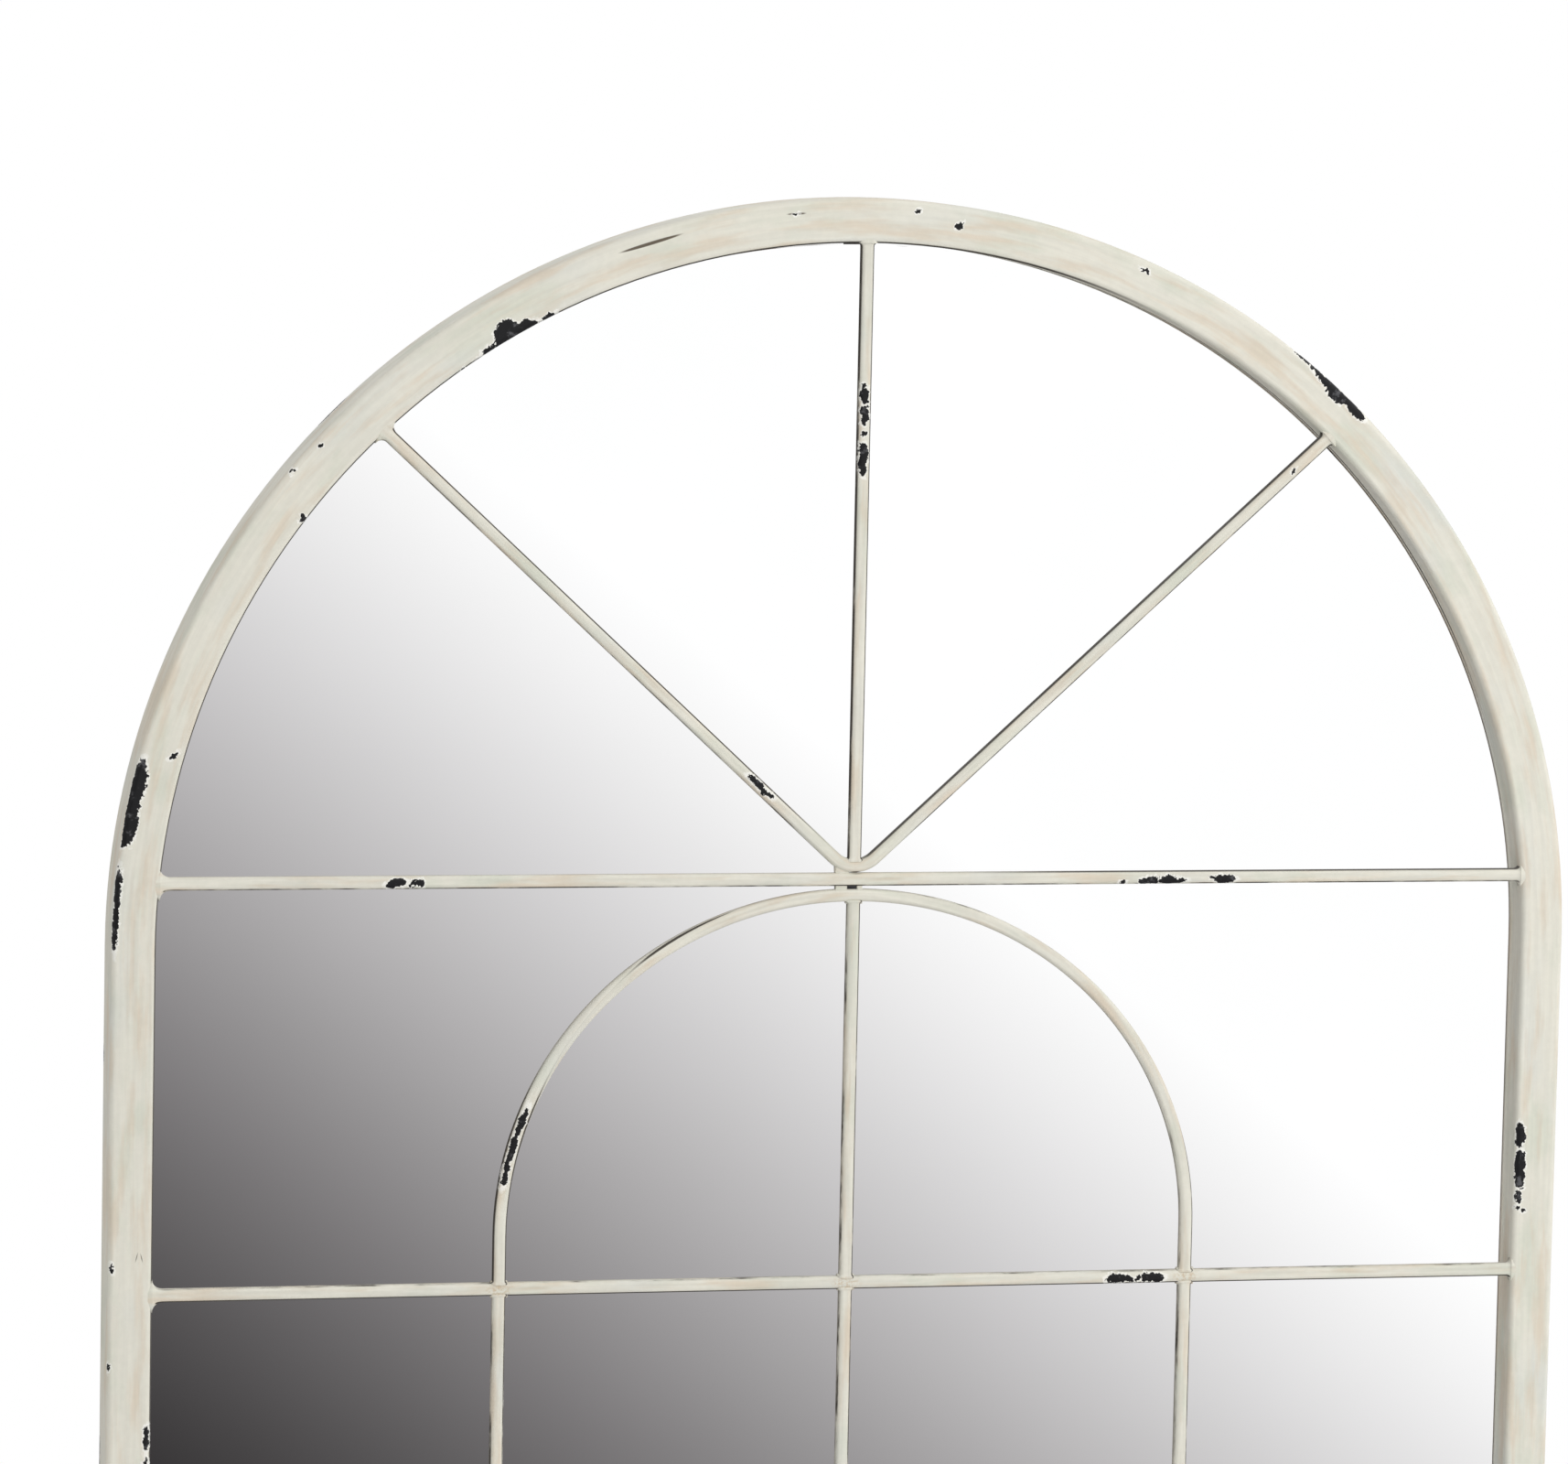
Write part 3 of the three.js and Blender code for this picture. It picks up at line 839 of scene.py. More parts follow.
tab = make_tab()
screw = make_screw()
print(f"tab {len(tab.data.polygons)} faces, screw {len(screw.data.polygons)} faces")

# %% Nine of each, at the places of the solids
arch_middle = Vector((0, 0, spring_z))
tabs = {}
screws = {}
number = 1
while f"lug_screw_{number}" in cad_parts:
    low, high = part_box(f"lug_screw_{number}")
    hole = Vector(((low.x + high.x) / 2, 0, (low.z + high.z) / 2))
    if hole.z > spring_z:
        inward = (arch_middle - hole).normalized()
    elif hole.z < 2 * tube_face:
        inward = Vector((0, 0, 1))
    else:
        inward = Vector((-math.copysign(1, hole.x), 0, 0))
    tabs[f"frame_lug_{number}"] = copy_of(
        tab, f"steel_lug_{number}", math.atan2(inward.x, inward.z), hole - inward * TAB_HOLE_REACH
    )
    screws[f"lug_screw_{number}"] = copy_of(
        screw, f"pan_head_screw_{number}", draw.uniform(0, math.pi), hole
    )
    number += 1
delete(tab)
delete(screw)
print(f"{len(tabs)} tabs and {len(screws)} screws")

# %% [markdown]
# Two hanger plates are welded inside the legs at the back. Each has a keyhole: the head of a wall
# screw goes in at the round entry, and the mirror drops until the screw's neck sits in the slot.

# %% Hanger plates
KEY_ENTRY = 5.5 * MM
KEY_SLOT = 2.6 * MM
KEY_SLOT_LENGTH = 13 * MM
KEY_REACH = 18 * MM  # from the leg to the middle of the keyhole
PLATE_CORNER = 3 * MM
PLATE_BEADS = 9  # lumps in the weld that joins a plate to its leg
PLATE_BEAD = Vector((3.4, 2.6, 6.4)) * MM


def hanger(node, name, side):
    low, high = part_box(node)
    centre = (low + high) / 2
    thickness = high.y - low.y
    plate = block(name, centre, high - low)
    edit(plate)
    pick(plate, "EDGE", lambda edge: near(middle(edge).y, centre.y))
    round_off(PLATE_CORNER, 6)
    leave_edit()
    x = side * (opening_half - KEY_REACH)
    entry_z = centre.z - KEY_SLOT_LENGTH / 2
    cut_away(plate, peg(KEY_ENTRY, low.y - MM, high.y + MM, x, entry_z))
    slot_size = (2 * KEY_SLOT, 3 * thickness, KEY_SLOT_LENGTH)
    cut_away(plate, block("slot", (x, centre.y, entry_z + KEY_SLOT_LENGTH / 2), slot_size))
    cut_away(plate, peg(KEY_SLOT, low.y - MM, high.y + MM, x, entry_z + KEY_SLOT_LENGTH))
    soften(plate)
    parts = [plate]
    for step in range(PLATE_BEADS):
        z = low.z + (high.z - low.z) * (step + 0.8) / (PLATE_BEADS + 0.6)
        place = (side * (opening_half - 0.4 * MM), low.y - 0.2 * MM, z)
        bead = block("bead", place, PLATE_BEAD)
        shake(bead, 3, 0.2 * MM, 40 + step)
        parts.append(bead)
    return join(parts, name)


hangers = {
    f"{side}_hanger_plate": hanger(f"{side}_hanger_plate", f"keyhole_plate_{side}", way)
    for side, way in (("left", -1), ("right", 1))
}
print([f"{node}: {len(plate.data.polygons)} faces" for node, plate in hangers.items()])

# %% Smooth shading on everything that was modelled
painted = {**bars, **welds, "outer_frame": outer_frame, "bottom_rail": bottom_rail}
fittings = {**tabs, **screws, **hangers}
every_piece = [*painted.values(), *fittings.values(), joint_beads, crown_gap_shade, mirror]
for piece in every_piece:
    smooth(piece)
print(f"{sum(len(piece.data.polygons) for piece in every_piece)} faces in all the new pieces")

# %% [markdown]
# ## Node helpers
#
# Materials are built from nodes. Small helpers keep that readable. One adds a node and fills its
# inputs with numbers or with other nodes' outputs, and those for sums, colours and noise build on
# it. Another makes a node group, for effects that several materials share.

# %% Adding nodes and groups
def srgb(red, green, blue):
    """A colour as it looks on a screen, 0 to 255, turned into the linear values of a shader."""
    def linear(level):
        share = level / 255
        return share / 12.92 if share <= 0.04045 else ((share + 0.055) / 1.055) ** 2.4

    return (linear(red), linear(green), linear(blue), 1)


def add(tree, kind, values=None, **settings):
    """Adds a node. `values` fills its inputs, by name or number, with values or with links."""
    node = tree.nodes.new("ShaderNode" + kind)
    for setting, value in settings.items():
        setattr(node, setting, value)
    for socket, value in (values or {}).items():
        if isinstance(value, bpy.types.NodeSocket):
            tree.links.new(value, node.inputs[socket])
        else:
            node.inputs[socket].default_value = value
    return node


def calc(tree, operation, first, second=0, third=0):
    values = {0: first, 1: second, 2: third}
    return add(tree, "Math", values, operation=operation).outputs[0]


def blend_colour(tree, share, first, second):
    values = {0: share, 6: first, 7: second}  # 6 and 7 are the two colours of a Mix node
    return add(tree, "Mix", values, data_type="RGBA").outputs[2]


def ramp(tree, value, low, high, start_at=0, end_at=1):
    """Goes smoothly from start_at to end_at as the value goes from low to high."""
    values = {0: value, 1: low, 2: high, 3: start_at, 4: end_at}
    return add(tree, "MapRange", values, interpolation_type="SMOOTHSTEP").outputs[0]


def vector_calc(tree, operation, first, second):
    return add(tree, "VectorMath", {0: first, 1: second}, operation=operation).outputs[0]


def scale_by(tree, vector, amount):
    return add(tree, "VectorMath", {0: vector, "Scale": amount}, operation="SCALE").outputs[0]


def length_of(tree, vector):
    return add(tree, "VectorMath", {0: vector}, operation="LENGTH").outputs["Value"]


def axes(tree, vector):
    """The numbers of a vector, by the names X, Y and Z."""
    return add(tree, "SeparateXYZ", {0: vector}).outputs


def noise(tree, vector, scale, detail=2, roughness=0.5):
    values = {"Vector": vector, "Scale": scale, "Detail": detail, "Roughness": roughness}
    return add(tree, "TexNoise", values).outputs[0]


def drawn_noise(tree, vector, scales, detail=2, roughness=0.5):
    """Noise with a scale of its own for each axis, so that it is drawn out along one."""
    return noise(tree, vector_calc(tree, "MULTIPLY", vector, scales), 1, detail, roughness)


FLOAT, VECTOR, COLOUR = "NodeSocketFloat", "NodeSocketVector", "NodeSocketColor"


def new_group(name, inputs, outputs):
    """An empty group, the sockets that it is given and the sockets of what it makes."""
    group = bpy.data.node_groups.new(name, "ShaderNodeTree")
    for side, sockets in (("INPUT", inputs), ("OUTPUT", outputs)):
        for socket, kind in sockets.items():
            group.interface.new_socket(socket, in_out=side, socket_type=kind)
    given = group.nodes.new("NodeGroupInput").outputs
    made = group.nodes.new("NodeGroupOutput").inputs
    return group, given, made


def use(tree, group, values):
    return add(tree, "Group", values, node_tree=group).outputs


def new_material(name):
    """A material, its nodes, its shader, and the position on the piece to paint by."""
    material = bpy.data.materials.new(name)
    material.use_nodes = True
    tree = material.node_tree
    position = add(tree, "TexCoord").outputs["Object"]
    return material, tree, tree.nodes["Principled BSDF"], position


def coat_shader(tree, shader, colour, roughness, height=None, distance=0, strength=1):
    """Links a colour, a roughness and, where there is a height, a bump to the shader."""
    tree.links.new(colour, shader.inputs["Base Color"])
    tree.links.new(roughness, shader.inputs["Roughness"])
    if height is not None:
        values = {"Height": height, "Distance": distance, "Strength": strength}
        bump = add(tree, "Bump", values)
        tree.links.new(bump.outputs[0], shader.inputs["Normal"])


# %% [markdown]
# ## Paint
#
# The white coat isn't one colour. It was wiped on over a grey primer, so it has soft patches that
# lean to green, to grey and to a pinkish tan, drawn out along each bar, with fine streaks on top.
# One group makes that coat from the `lay` of a piece, and the tube, the bars and the welds all
# use it.

# %% The coat of antique white
CREAM = srgb(230, 227, 214)
GREENISH = srgb(219, 220, 205)
TAN = srgb(220, 205, 184)
COOL = srgb(220, 222, 216)

paint_coat, given, made = new_group(
    "antique white coat",
    {"Lay": VECTOR, "Tan": FLOAT, "Streaks": FLOAT},
    {"Color": COLOUR, "Roughness": FLOAT, "Height": FLOAT},
)
lay = given["Lay"]
patches = drawn_noise(paint_coat, lay, (22, 55, 40), 3, 0.55)
blotches = drawn_noise(paint_coat, lay, (16, 110, 60), 3, 0.6)
washes = drawn_noise(paint_coat, lay, (9, 30, 30))
streaks = drawn_noise(paint_coat, lay, (22, 380, 380))
mottle = noise(paint_coat, lay, 300)
grains = noise(paint_coat, lay, 900)

colour = blend_colour(paint_coat, ramp(paint_coat, patches, 0.45, 0.7), CREAM, GREENISH)
cool_share = calc(paint_coat, "MULTIPLY", ramp(paint_coat, washes, 0.5, 0.72), 0.6)
colour = blend_colour(paint_coat, cool_share, colour, COOL)
tan_share = calc(paint_coat, "MULTIPLY", ramp(paint_coat, blotches, 0.46, 0.7), given["Tan"])
colour = blend_colour(paint_coat, tan_share, colour, TAN)
streak_tone = ramp(paint_coat, streaks, 0.3, 0.7, -0.07, 0.03)
tone = calc(paint_coat, "MULTIPLY_ADD", streak_tone, given["Streaks"], 1)
tone = calc(paint_coat, "MULTIPLY", tone, ramp(paint_coat, mottle, 0.25, 0.75, 0.98, 1.015))
paint_coat.links.new(scale_by(paint_coat, colour, tone), made["Color"])
paint_coat.links.new(ramp(paint_coat, blotches, 0.3, 0.7, 0.5, 0.66), made["Roughness"])
faint_grains = calc(paint_coat, "MULTIPLY", grains, 0.3)
bumps = calc(paint_coat, "MULTIPLY_ADD", streaks, given["Streaks"], faint_grains)
paint_coat.links.new(bumps, made["Height"])
print(f"coat: {len(paint_coat.nodes)} nodes")

# %% [markdown]
# ## Chips
#
# The chips were made on purpose, with a hammer and a file, so each has its own place and shape. A
# chip is an ellipsoid at a place on the steel. Paint breaks along jagged lines, so the point that
# is tested is first pushed about a little by noise, and partly drawn to the middle of a small
# cell, which makes straight facets. The group puts out how deep inside a chip a point lies, in
# millimetres, so several chips are combined with a plain maximum.

# %% Jagged edges
FLAKE_SHARE = 0.45  # how far a point is drawn to the middle of its cell

jagged, given, made = new_group("jagged place", {"Position": VECTOR}, {"Position": VECTOR})


def wander(tree, vector, scale, detail, amount):
    """A push to any side, of up to about half the amount, that changes from place to place."""
    values = {"Vector": vector, "Scale": scale, "Detail": detail}
    cloud = add(tree, "TexNoise", values).outputs["Color"]
    return scale_by(tree, vector_calc(tree, "SUBTRACT", cloud, (0.5, 0.5, 0.5)), amount)


flake = add(jagged, "TexVoronoi", {"Vector": given["Position"], "Scale": 620})
values = {0: FLAKE_SHARE, 4: given["Position"], 5: flake.outputs["Position"]}
torn = add(jagged, "Mix", values, data_type="VECTOR").outputs[1]
for scale, detail, amount in ((230, 2, 4.5 * MM), (600, 3, 2.7 * MM)):
    pushing = wander(jagged, given["Position"], scale, detail, amount)
    torn = vector_calc(jagged, "ADD", torn, pushing)
jagged.links.new(torn, made["Position"])

# %% One chip
chip, given, made = new_group(
    "one chip",
    {"Position": VECTOR, "Place": VECTOR, "Size": VECTOR, "Turn": FLOAT, "Width": FLOAT},
    {"Depth": FLOAT},
)
away = vector_calc(chip, "SUBTRACT", given["Position"], given["Place"])
values = {"Vector": away, "Angle": given["Turn"]}
turned = add(chip, "VectorRotate", values, rotation_type="Y_AXIS").outputs[0]
distance = length_of(chip, vector_calc(chip, "DIVIDE", turned, given["Size"]))
inside = calc(chip, "MULTIPLY", calc(chip, "SUBTRACT", 1, distance), given["Width"])
chip.links.new(inside, made["Depth"])


FAR_OFF = -100  # mm, the depth where there is no chip


def deepest_chip(tree, position, chips, reach, growth=0):
    """The depth in the nearest of the chips (x, y, z, half length, half width, turn)."""
    depth = FAR_OFF
    for x, y, z, half_length, half_width, turn in chips:
        found = use(tree, chip, {
            "Position": position,
            "Place": Vector((x, y, z)) * MM,
            "Size": Vector((half_length + growth, reach, half_width + growth)) * MM,
            "Turn": math.radians(turn),
            "Width": half_width + growth,
        })["Depth"]
        depth = calc(tree, "MAXIMUM", depth, found)
    return depth


# %% [markdown]
# A second group turns that depth into bare black steel with grey scuffs, a pale raised rim and a
# step in height.

# %% From depth to bare steel
STEEL = srgb(25, 25, 27)
SCUFFED = srgb(98, 98, 101)
RIM = srgb(253, 252, 246)
RIM_WIDTH = 1.1  # mm

flaking, given, made = new_group(
    "flaked paint",
    {"Depth": FLOAT, "Paint": COLOUR, "Coat roughness": FLOAT, "Coat height": FLOAT,
     "Position": VECTOR},
    {"Color": COLOUR, "Roughness": FLOAT, "Height": FLOAT},
)
scuffs = noise(flaking, given["Position"], 180, 5, 0.7)
steel = blend_colour(flaking, ramp(flaking, scuffs, 0.55, 0.68, 0, 0.75), STEEL, SCUFFED)
bare = ramp(flaking, given["Depth"], 0, 0.15)
rim = calc(flaking, "MULTIPLY", ramp(flaking, given["Depth"], -RIM_WIDTH, -0.2), 0.75)
colour = blend_colour(flaking, rim, given["Paint"], RIM)
flaking.links.new(blend_colour(flaking, bare, colour, steel), made["Color"])
steel_roughness = ramp(flaking, scuffs, 0.3, 0.7, 0.38, 0.6)
rough = add(flaking, "Mix", {0: bare, 2: given["Coat roughness"], 3: steel_roughness})
flaking.links.new(rough.outputs[0], made["Roughness"])
step_down = calc(flaking, "MULTIPLY", bare, -6)
height = calc(flaking, "ADD", calc(flaking, "ADD", step_down, given["Coat height"]), rim)
flaking.links.new(height, made["Height"])

# %% [markdown]
# The places of the chips come from the photograph, in millimetres. The photograph ends below the
# first cross bar and shows no side, so the other chips are made up in the same style. Every piece
# has its own list, because a material only pays for the chips that it tests.

# %% Where the paint is gone
# x, z, half length, half width, and the turn of the long side from level, in degrees
FRAME_FRONT_CHIPS = [
    # left of the arch: a long flake on the outer edge, and a thin one below it
    (-412.3, 996, 16, 4.8, 76),
    (-414.6, 984, 14, 3.7, 78),
    (-416, 973.5, 11, 4.3, 78),
    (-418.6, 965, 4, 1.8, 70),
    (-422.4, 943.5, 8.5, 2.2, 86),
    (-422.8, 934, 7.5, 2.4, 88),
    (-423.5, 918, 15, 1.8, 88),
    (-391.5, 1013.2, 2.8, 1, 40),
    # upper left of the arch: a wedge that stands on the inner edge
    (-207.2, 1250.8, 7.6, 6.2, 40),
    (-205.1, 1247.2, 19.5, 2.9, 30.8),
    (-199.2, 1252.6, 10, 3.4, 27),
    (-183.3, 1259.6, 4.8, 1.4, 27),
    (-231.5, 1229.4, 1.6, 0.8, 35),
    # the crown and the specks beside it
    (52.3, 1314, 2.3, 1.6, 40),
    (28.2, 1321.6, 1.3, 0.9, 10),
    (-42.8, 1319, 1.3, 0.7, 10),
    (162, 1289.6, 2.8, 1, -30),
    (-320.8, 1146.3, 2, 1.6, 60),
    (-311.6, 1186.7, 1.4, 0.8, 40),
    (-326.8, 1172.3, 1.6, 0.6, 50),
    # upper right of the arch: a sliver on the outer edge that widens downwards
    (262.3, 1237.3, 15, 1.2, -40.3),
    (275.3, 1224.6, 14, 2.9, -40.3),
    (277.8, 1220.6, 7.5, 4.1, -42),
    (288.4, 1212.2, 9.5, 2.8, -46),
    # right leg, on the inner edge
    (402.3, 788, 7, 2.9, 90),
    (403, 768.3, 11.6, 3.1, 90),
    (402.6, 751, 3.5, 1.5, 88),
    (402.5, 744.8, 1.2, 1, 0),
    (406, 742.8, 1.2, 1, 0),
    (404.6, 756, 1, 0.7, 0),
    # left leg, on the inner edge
    (-402.4, 627.5, 6.6, 1.9, 90),
    (-402.7, 599, 17, 2.1, 90),
    (-423.2, 724.2, 2.4, 0.8, 100),
    (-425, 668, 2.4, 1.1, 90),
    # below the photograph
    (423, 505, 17, 2.8, 90),
    (421.5, 487, 8, 3.4, 84),
    (-421.4, 190, 20, 3.2, 92),
    (-418, 176, 7, 3.8, 70),
    (403.4, 214, 10, 2.6, 90),
    (412, 330, 2, 1.5, 30),
    (-412, 455, 1.8, 1.3, 60),
    (420, 64, 9, 3, 88),
]
FRAME_SIDE_CHIPS = [
    # x, y, z, half length, half width, turn: on the outer walls of the legs and of the arch
    (-425, -3, 610, 14, 3, 90),
    (-425, -19, 392, 6, 4, 80),
    (-424, -2, 840, 9, 3, 90),
    (425, -4, 702, 15, 3, 90),
    (425, -22, 268, 5, 4, 75),
    (425, -6, 884, 10, 3, 90),
    (-300, -3, 1204, 12, 3, 45),
    (118, -2.5, 1311, 14, 3, -16),
    (352, -20, 1141, 5, 4, -56),
]
RAIL_CHIPS = [
    (-236, -9.5, 20, 2.8, 2),
    (-224, -8, 8, 3.6, 12),
    (92, 10, 13, 2.4, 0),
    (281, -10.5, 9, 2.2, 0),
    (340, 2, 1.6, 1.3, 20),
]
BAR_CHIPS = {
    "transom_bar": [
        (-264.5, 940.5, 5.6, 2.5, 8),
        (-255, 939.8, 2, 1.2, 0),
        (-255.3, 942.2, 1, 0.9, 0),
        (-251.8, 940.6, 2.3, 1.9, -20),
        (158.5, 937.9, 2.2, 0.9, 8),
        (171.5, 938.9, 3.6, 1.9, 0),
        (175.5, 939.4, 4.2, 2.2, 0),
        (185.6, 939.4, 5.4, 2.5, 0),
        (192, 939.2, 4, 1.2, 5),
        (211.8, 940.5, 1.5, 1, 0),
        (219.5, 939.6, 6.8, 2.4, 0),
    ],
    "cross_bar_1": [
        (160.4, 707.2, 6.4, 2.5, 0),
        (167.5, 707, 3, 1.7, 0),
        (173, 707.3, 1.6, 0.9, 30),
        (182.4, 707.3, 7.4, 2.5, -3),
        (178, 708.2, 2.6, 2.2, 0),
    ],
    "upper_centre_bar": [
        (-0.9, 1222.6, 1.1, 0.9, 90),
        (-0.6, 1216.5, 4.6, 2.4, 98),
        (-0.4, 1207.6, 3.6, 2.2, 90),
        (0, 1204, 3.6, 1.9, 80),
        (-0.4, 1195.4, 1.1, 0.9, 90),
        (-0.8, 1186.5, 4.2, 2.1, 90),
        (-0.6, 1182, 3.4, 2.3, 90),
        (-1, 1176.4, 4.8, 2.1, 98),
    ],
    "v_bar": [
        (-58.8, 996.6, 6.8, 1.9, -42.6),
        (-52.6, 990.8, 4.6, 1.5, -42.6),
        (253.8, 1175.6, 1.4, 1.1, 42.6),
    ],
    "inner_arch_bar": [
        (-199.6, 775.5, 9, 1.5, 80),
        (-196.2, 788, 8.5, 1.8, 76),
        (-191.4, 802.5, 10.5, 1.6, 70),
    ],
    "cross_bar_2": [
        (-120, 474.8, 7.5, 2.2, 0),
        (-108, 475.4, 2.6, 1.6, 0),
    ],
    "cross_bar_3": [
        (262, 241.6, 9, 2.3, 0),
        (272, 242.4, 3, 1.5, 0),
    ],
    "right_upright_3": [
        (202, 402, 8, 2.1, 90),
        (202.4, 389, 3, 1.6, 90),
    ],
    "left_upright_4": [(-202, 143, 9.5, 2.2, 90)],
    "centre_upright_3": [(0.2, 331, 6, 2.1, 90)],
}
print(f"{len(FRAME_FRONT_CHIPS) + len(FRAME_SIDE_CHIPS)} chips on the tube,",
      sum(len(chips) for chips in BAR_CHIPS.values()), "on the bars")

# %% [markdown]
# Along the edges of the bars and the inner edge of the frame, long narrow dark lines are painted
# in as shade, broken up so that they look like rubbed paint. The group finds a line by its place
# in the section, across and deep, and breaks it up with noise. `Side` says on which side of the bar
# it lies, -1 or 1.

# %% Painted shade along the edges
# a dark colour painted along edges as shade
EDGE_SHADE = srgb(72, 67, 60)

edge_shading, given, made = new_group(
    "painted edge shade",
    {"Lay": VECTOR, "Side": FLOAT, "Across": FLOAT, "Deep": FLOAT, "Width": FLOAT, "Amount": FLOAT},
    {"Mask": FLOAT},
)
parts = axes(edge_shading, given["Lay"])
off_across = calc(edge_shading, "SUBTRACT", calc(edge_shading, "MULTIPLY", parts["Y"], given["Side"]),
                  given["Across"])
off_deep = calc(edge_shading, "SUBTRACT", parts["Z"], given["Deep"])
squares = [calc(edge_shading, "POWER", off, 2) for off in (off_across, off_deep)]
off = calc(edge_shading, "SQRT", calc(edge_shading, "ADD", *squares))
line = calc(edge_shading, "SUBTRACT", 1, calc(edge_shading, "DIVIDE", off, given["Width"]))
broken = drawn_noise(edge_shading, given["Lay"], (35, 120, 120), 4, 0.65)
line_kept = calc(edge_shading, "SUBTRACT", calc(edge_shading, "ADD", broken, given["Amount"]), 0.75)
mask = calc(edge_shading, "MULTIPLY", ramp(edge_shading, line, 0, 0.4), ramp(edge_shading, line_kept, 0, 0.25))
edge_shading.links.new(mask, made["Mask"])

# %% [markdown]
# The welds were brushed and heated, so the paint near a joint has small smudges of tan. They use
# the same ellipsoid as a chip, with a softer edge.

# %% Tan smudges at the joints
SMUDGE = srgb(196, 168, 128)
SMUDGE_REACH = 4  # mm
SMUDGES = [  # x, y, z, half length, half width, turn
    (x / MM, bar_front_y / MM, z / MM, 9, 4, 0) for z in cross_heights for x in columns.values()
]


def smudged(tree, position, paint, smudges):
    depth = deepest_chip(tree, position, smudges, SMUDGE_REACH)
    specks = ramp(tree, noise(tree, position, 500, 3, 0.7), 0.42, 0.62)
    share = calc(tree, "MULTIPLY", ramp(tree, depth, -1, 3), calc(tree, "MULTIPLY", specks, 0.6))
    return blend_colour(tree, share, paint, SMUDGE)


# %% The painted materials
BUMP_DEPTH = 0.03 * MM
# the colour of scratches, and of the painted shade in the seams at the foot of the V
SCRATCH_AND_SEAM_SHADE = srgb(92, 80, 66)
CHIP_REACH = 3  # mm, how deep a chip goes
MARK_REACH = 2  # the same for the painted shade in a seam, or a scratch
CHIP_GROWTH = 0.35  # mm, which makes up for what the noise takes from a chip
# painted shade for the sides of the bars, darker towards their backs
BAR_BACK_SHADE = srgb(150, 143, 128)


def on_face(chips, y):
    """Puts chips that are given by x and z on a face, at its distance from the wall."""
    return [(x, y / MM, z, length, width, turn) for x, z, length, width, turn in chips]


def painted_material(name, chips, tan, streaks, edges=(), smudges=(), scratches_and_shades=(), back_shade=0):
    """White paint with chips. Each edge is a painted shade line that looks worn, which may set in
    from one x to another.

    The last argument says how much painted shade darkens the sides of a bar, towards its back."""
    material, tree, shader, position = new_material(name)
    lay = add(tree, "Attribute", attribute_name="lay").outputs["Vector"]
    coat = use(tree, paint_coat, {"Lay": lay, "Tan": tan, "Streaks": streaks})
    paint = coat["Color"]
    if smudges:
        paint = smudged(tree, position, paint, smudges)
    # Painted shade: the sides of a bar turn darker towards its back.
    if back_shade:
        deep = axes(tree, position)["Y"]
        share = ramp(tree, deep, bar_front_y + MM, bar_back_y - 2 * MM, 0, back_shade)
        paint = blend_colour(tree, share, paint, BAR_BACK_SHADE)
    # Painted shade lines along the edges, broken up like rubbed paint.
    for edge, fade in edges:
        edge_shade_mask = use(tree, edge_shading, {"Lay": lay, **edge})["Mask"]
        if fade:
            x = axes(tree, position)["X"]
            edge_shade_mask = calc(tree, "MULTIPLY", edge_shade_mask, ramp(tree, x, *fade))
        paint = blend_colour(tree, edge_shade_mask, paint, EDGE_SHADE)
    # Scratches, and the painted shade in the seams at the foot of the V.
    if scratches_and_shades:
        share = ramp(tree, deepest_chip(tree, position, scratches_and_shades, MARK_REACH), 0, 0.35, 0, 0.95)
        paint = blend_colour(tree, share, paint, SCRATCH_AND_SEAM_SHADE)
    torn = use(tree, jagged, {"Position": position})["Position"]
    flaked = use(tree, flaking, {
        "Depth": deepest_chip(tree, torn, chips, CHIP_REACH, CHIP_GROWTH),
        "Paint": paint,
        "Coat roughness": coat["Roughness"],
        "Coat height": coat["Height"],
        "Position": position,
    })
    coat_shader(tree, shader, flaked["Color"], flaked["Roughness"], flaked["Height"], BUMP_DEPTH)
    shader.inputs["Specular IOR Level"].default_value = 0.3
    return material


# %% Paint of the tube and the rail
def shade_line(side, across, deep, width, amount):
    """One painted shade line for the edge group, with its sizes in mm."""
    return {"Side": side, "Across": across * MM, "Deep": deep * MM, "Width": width * MM,
            "Amount": amount}


# Painted shade lines on the tube: along its inner edge, and along its inner wall 15.4 mm behind the
# face.
# each with the x where it begins to set in and the x where it is whole
INNER_EDGE = (shade_line(-1, 12.4, -33, 1.8, 1), (0.2, 0.1))
WALL_FOOT = (shade_line(-1, 12.5, -15.4, 1.6, 0.8), (0.39, 0.35))
SCRATCHES = [
    (-125.8, -35, 1301.5, 21, 1.1, 17.3),
    (-42.4, -35, 1319.2, 6.5, 0.8, 4),
    (-409.2, -35, 730.4, 4, 0.4, 76),
    (-406.4, -35, 730, 3.6, 0.4, 104),
]
tube_chips = on_face(FRAME_FRONT_CHIPS, front_y) + FRAME_SIDE_CHIPS
tube_paint = painted_material("tube paint", tube_chips, 0.65, 0.6, [INNER_EDGE, WALL_FOOT],
                              scratches_and_shades=SCRATCHES)
rail_paint = painted_material("rail paint", on_face(RAIL_CHIPS, front_y), 0.5, 0.6)

# %% Paint of the bars
# The painted shade lines sit on the edges that show: on the side that faces the camera its back
# edge, on the other side only its front corner.
def shown(side, amount):
    return shade_line(side, 4.2, -30.8, 2.9, amount)


def turned_away(side, amount):
    return shade_line(side, 3.6, -33, 1.1, amount)


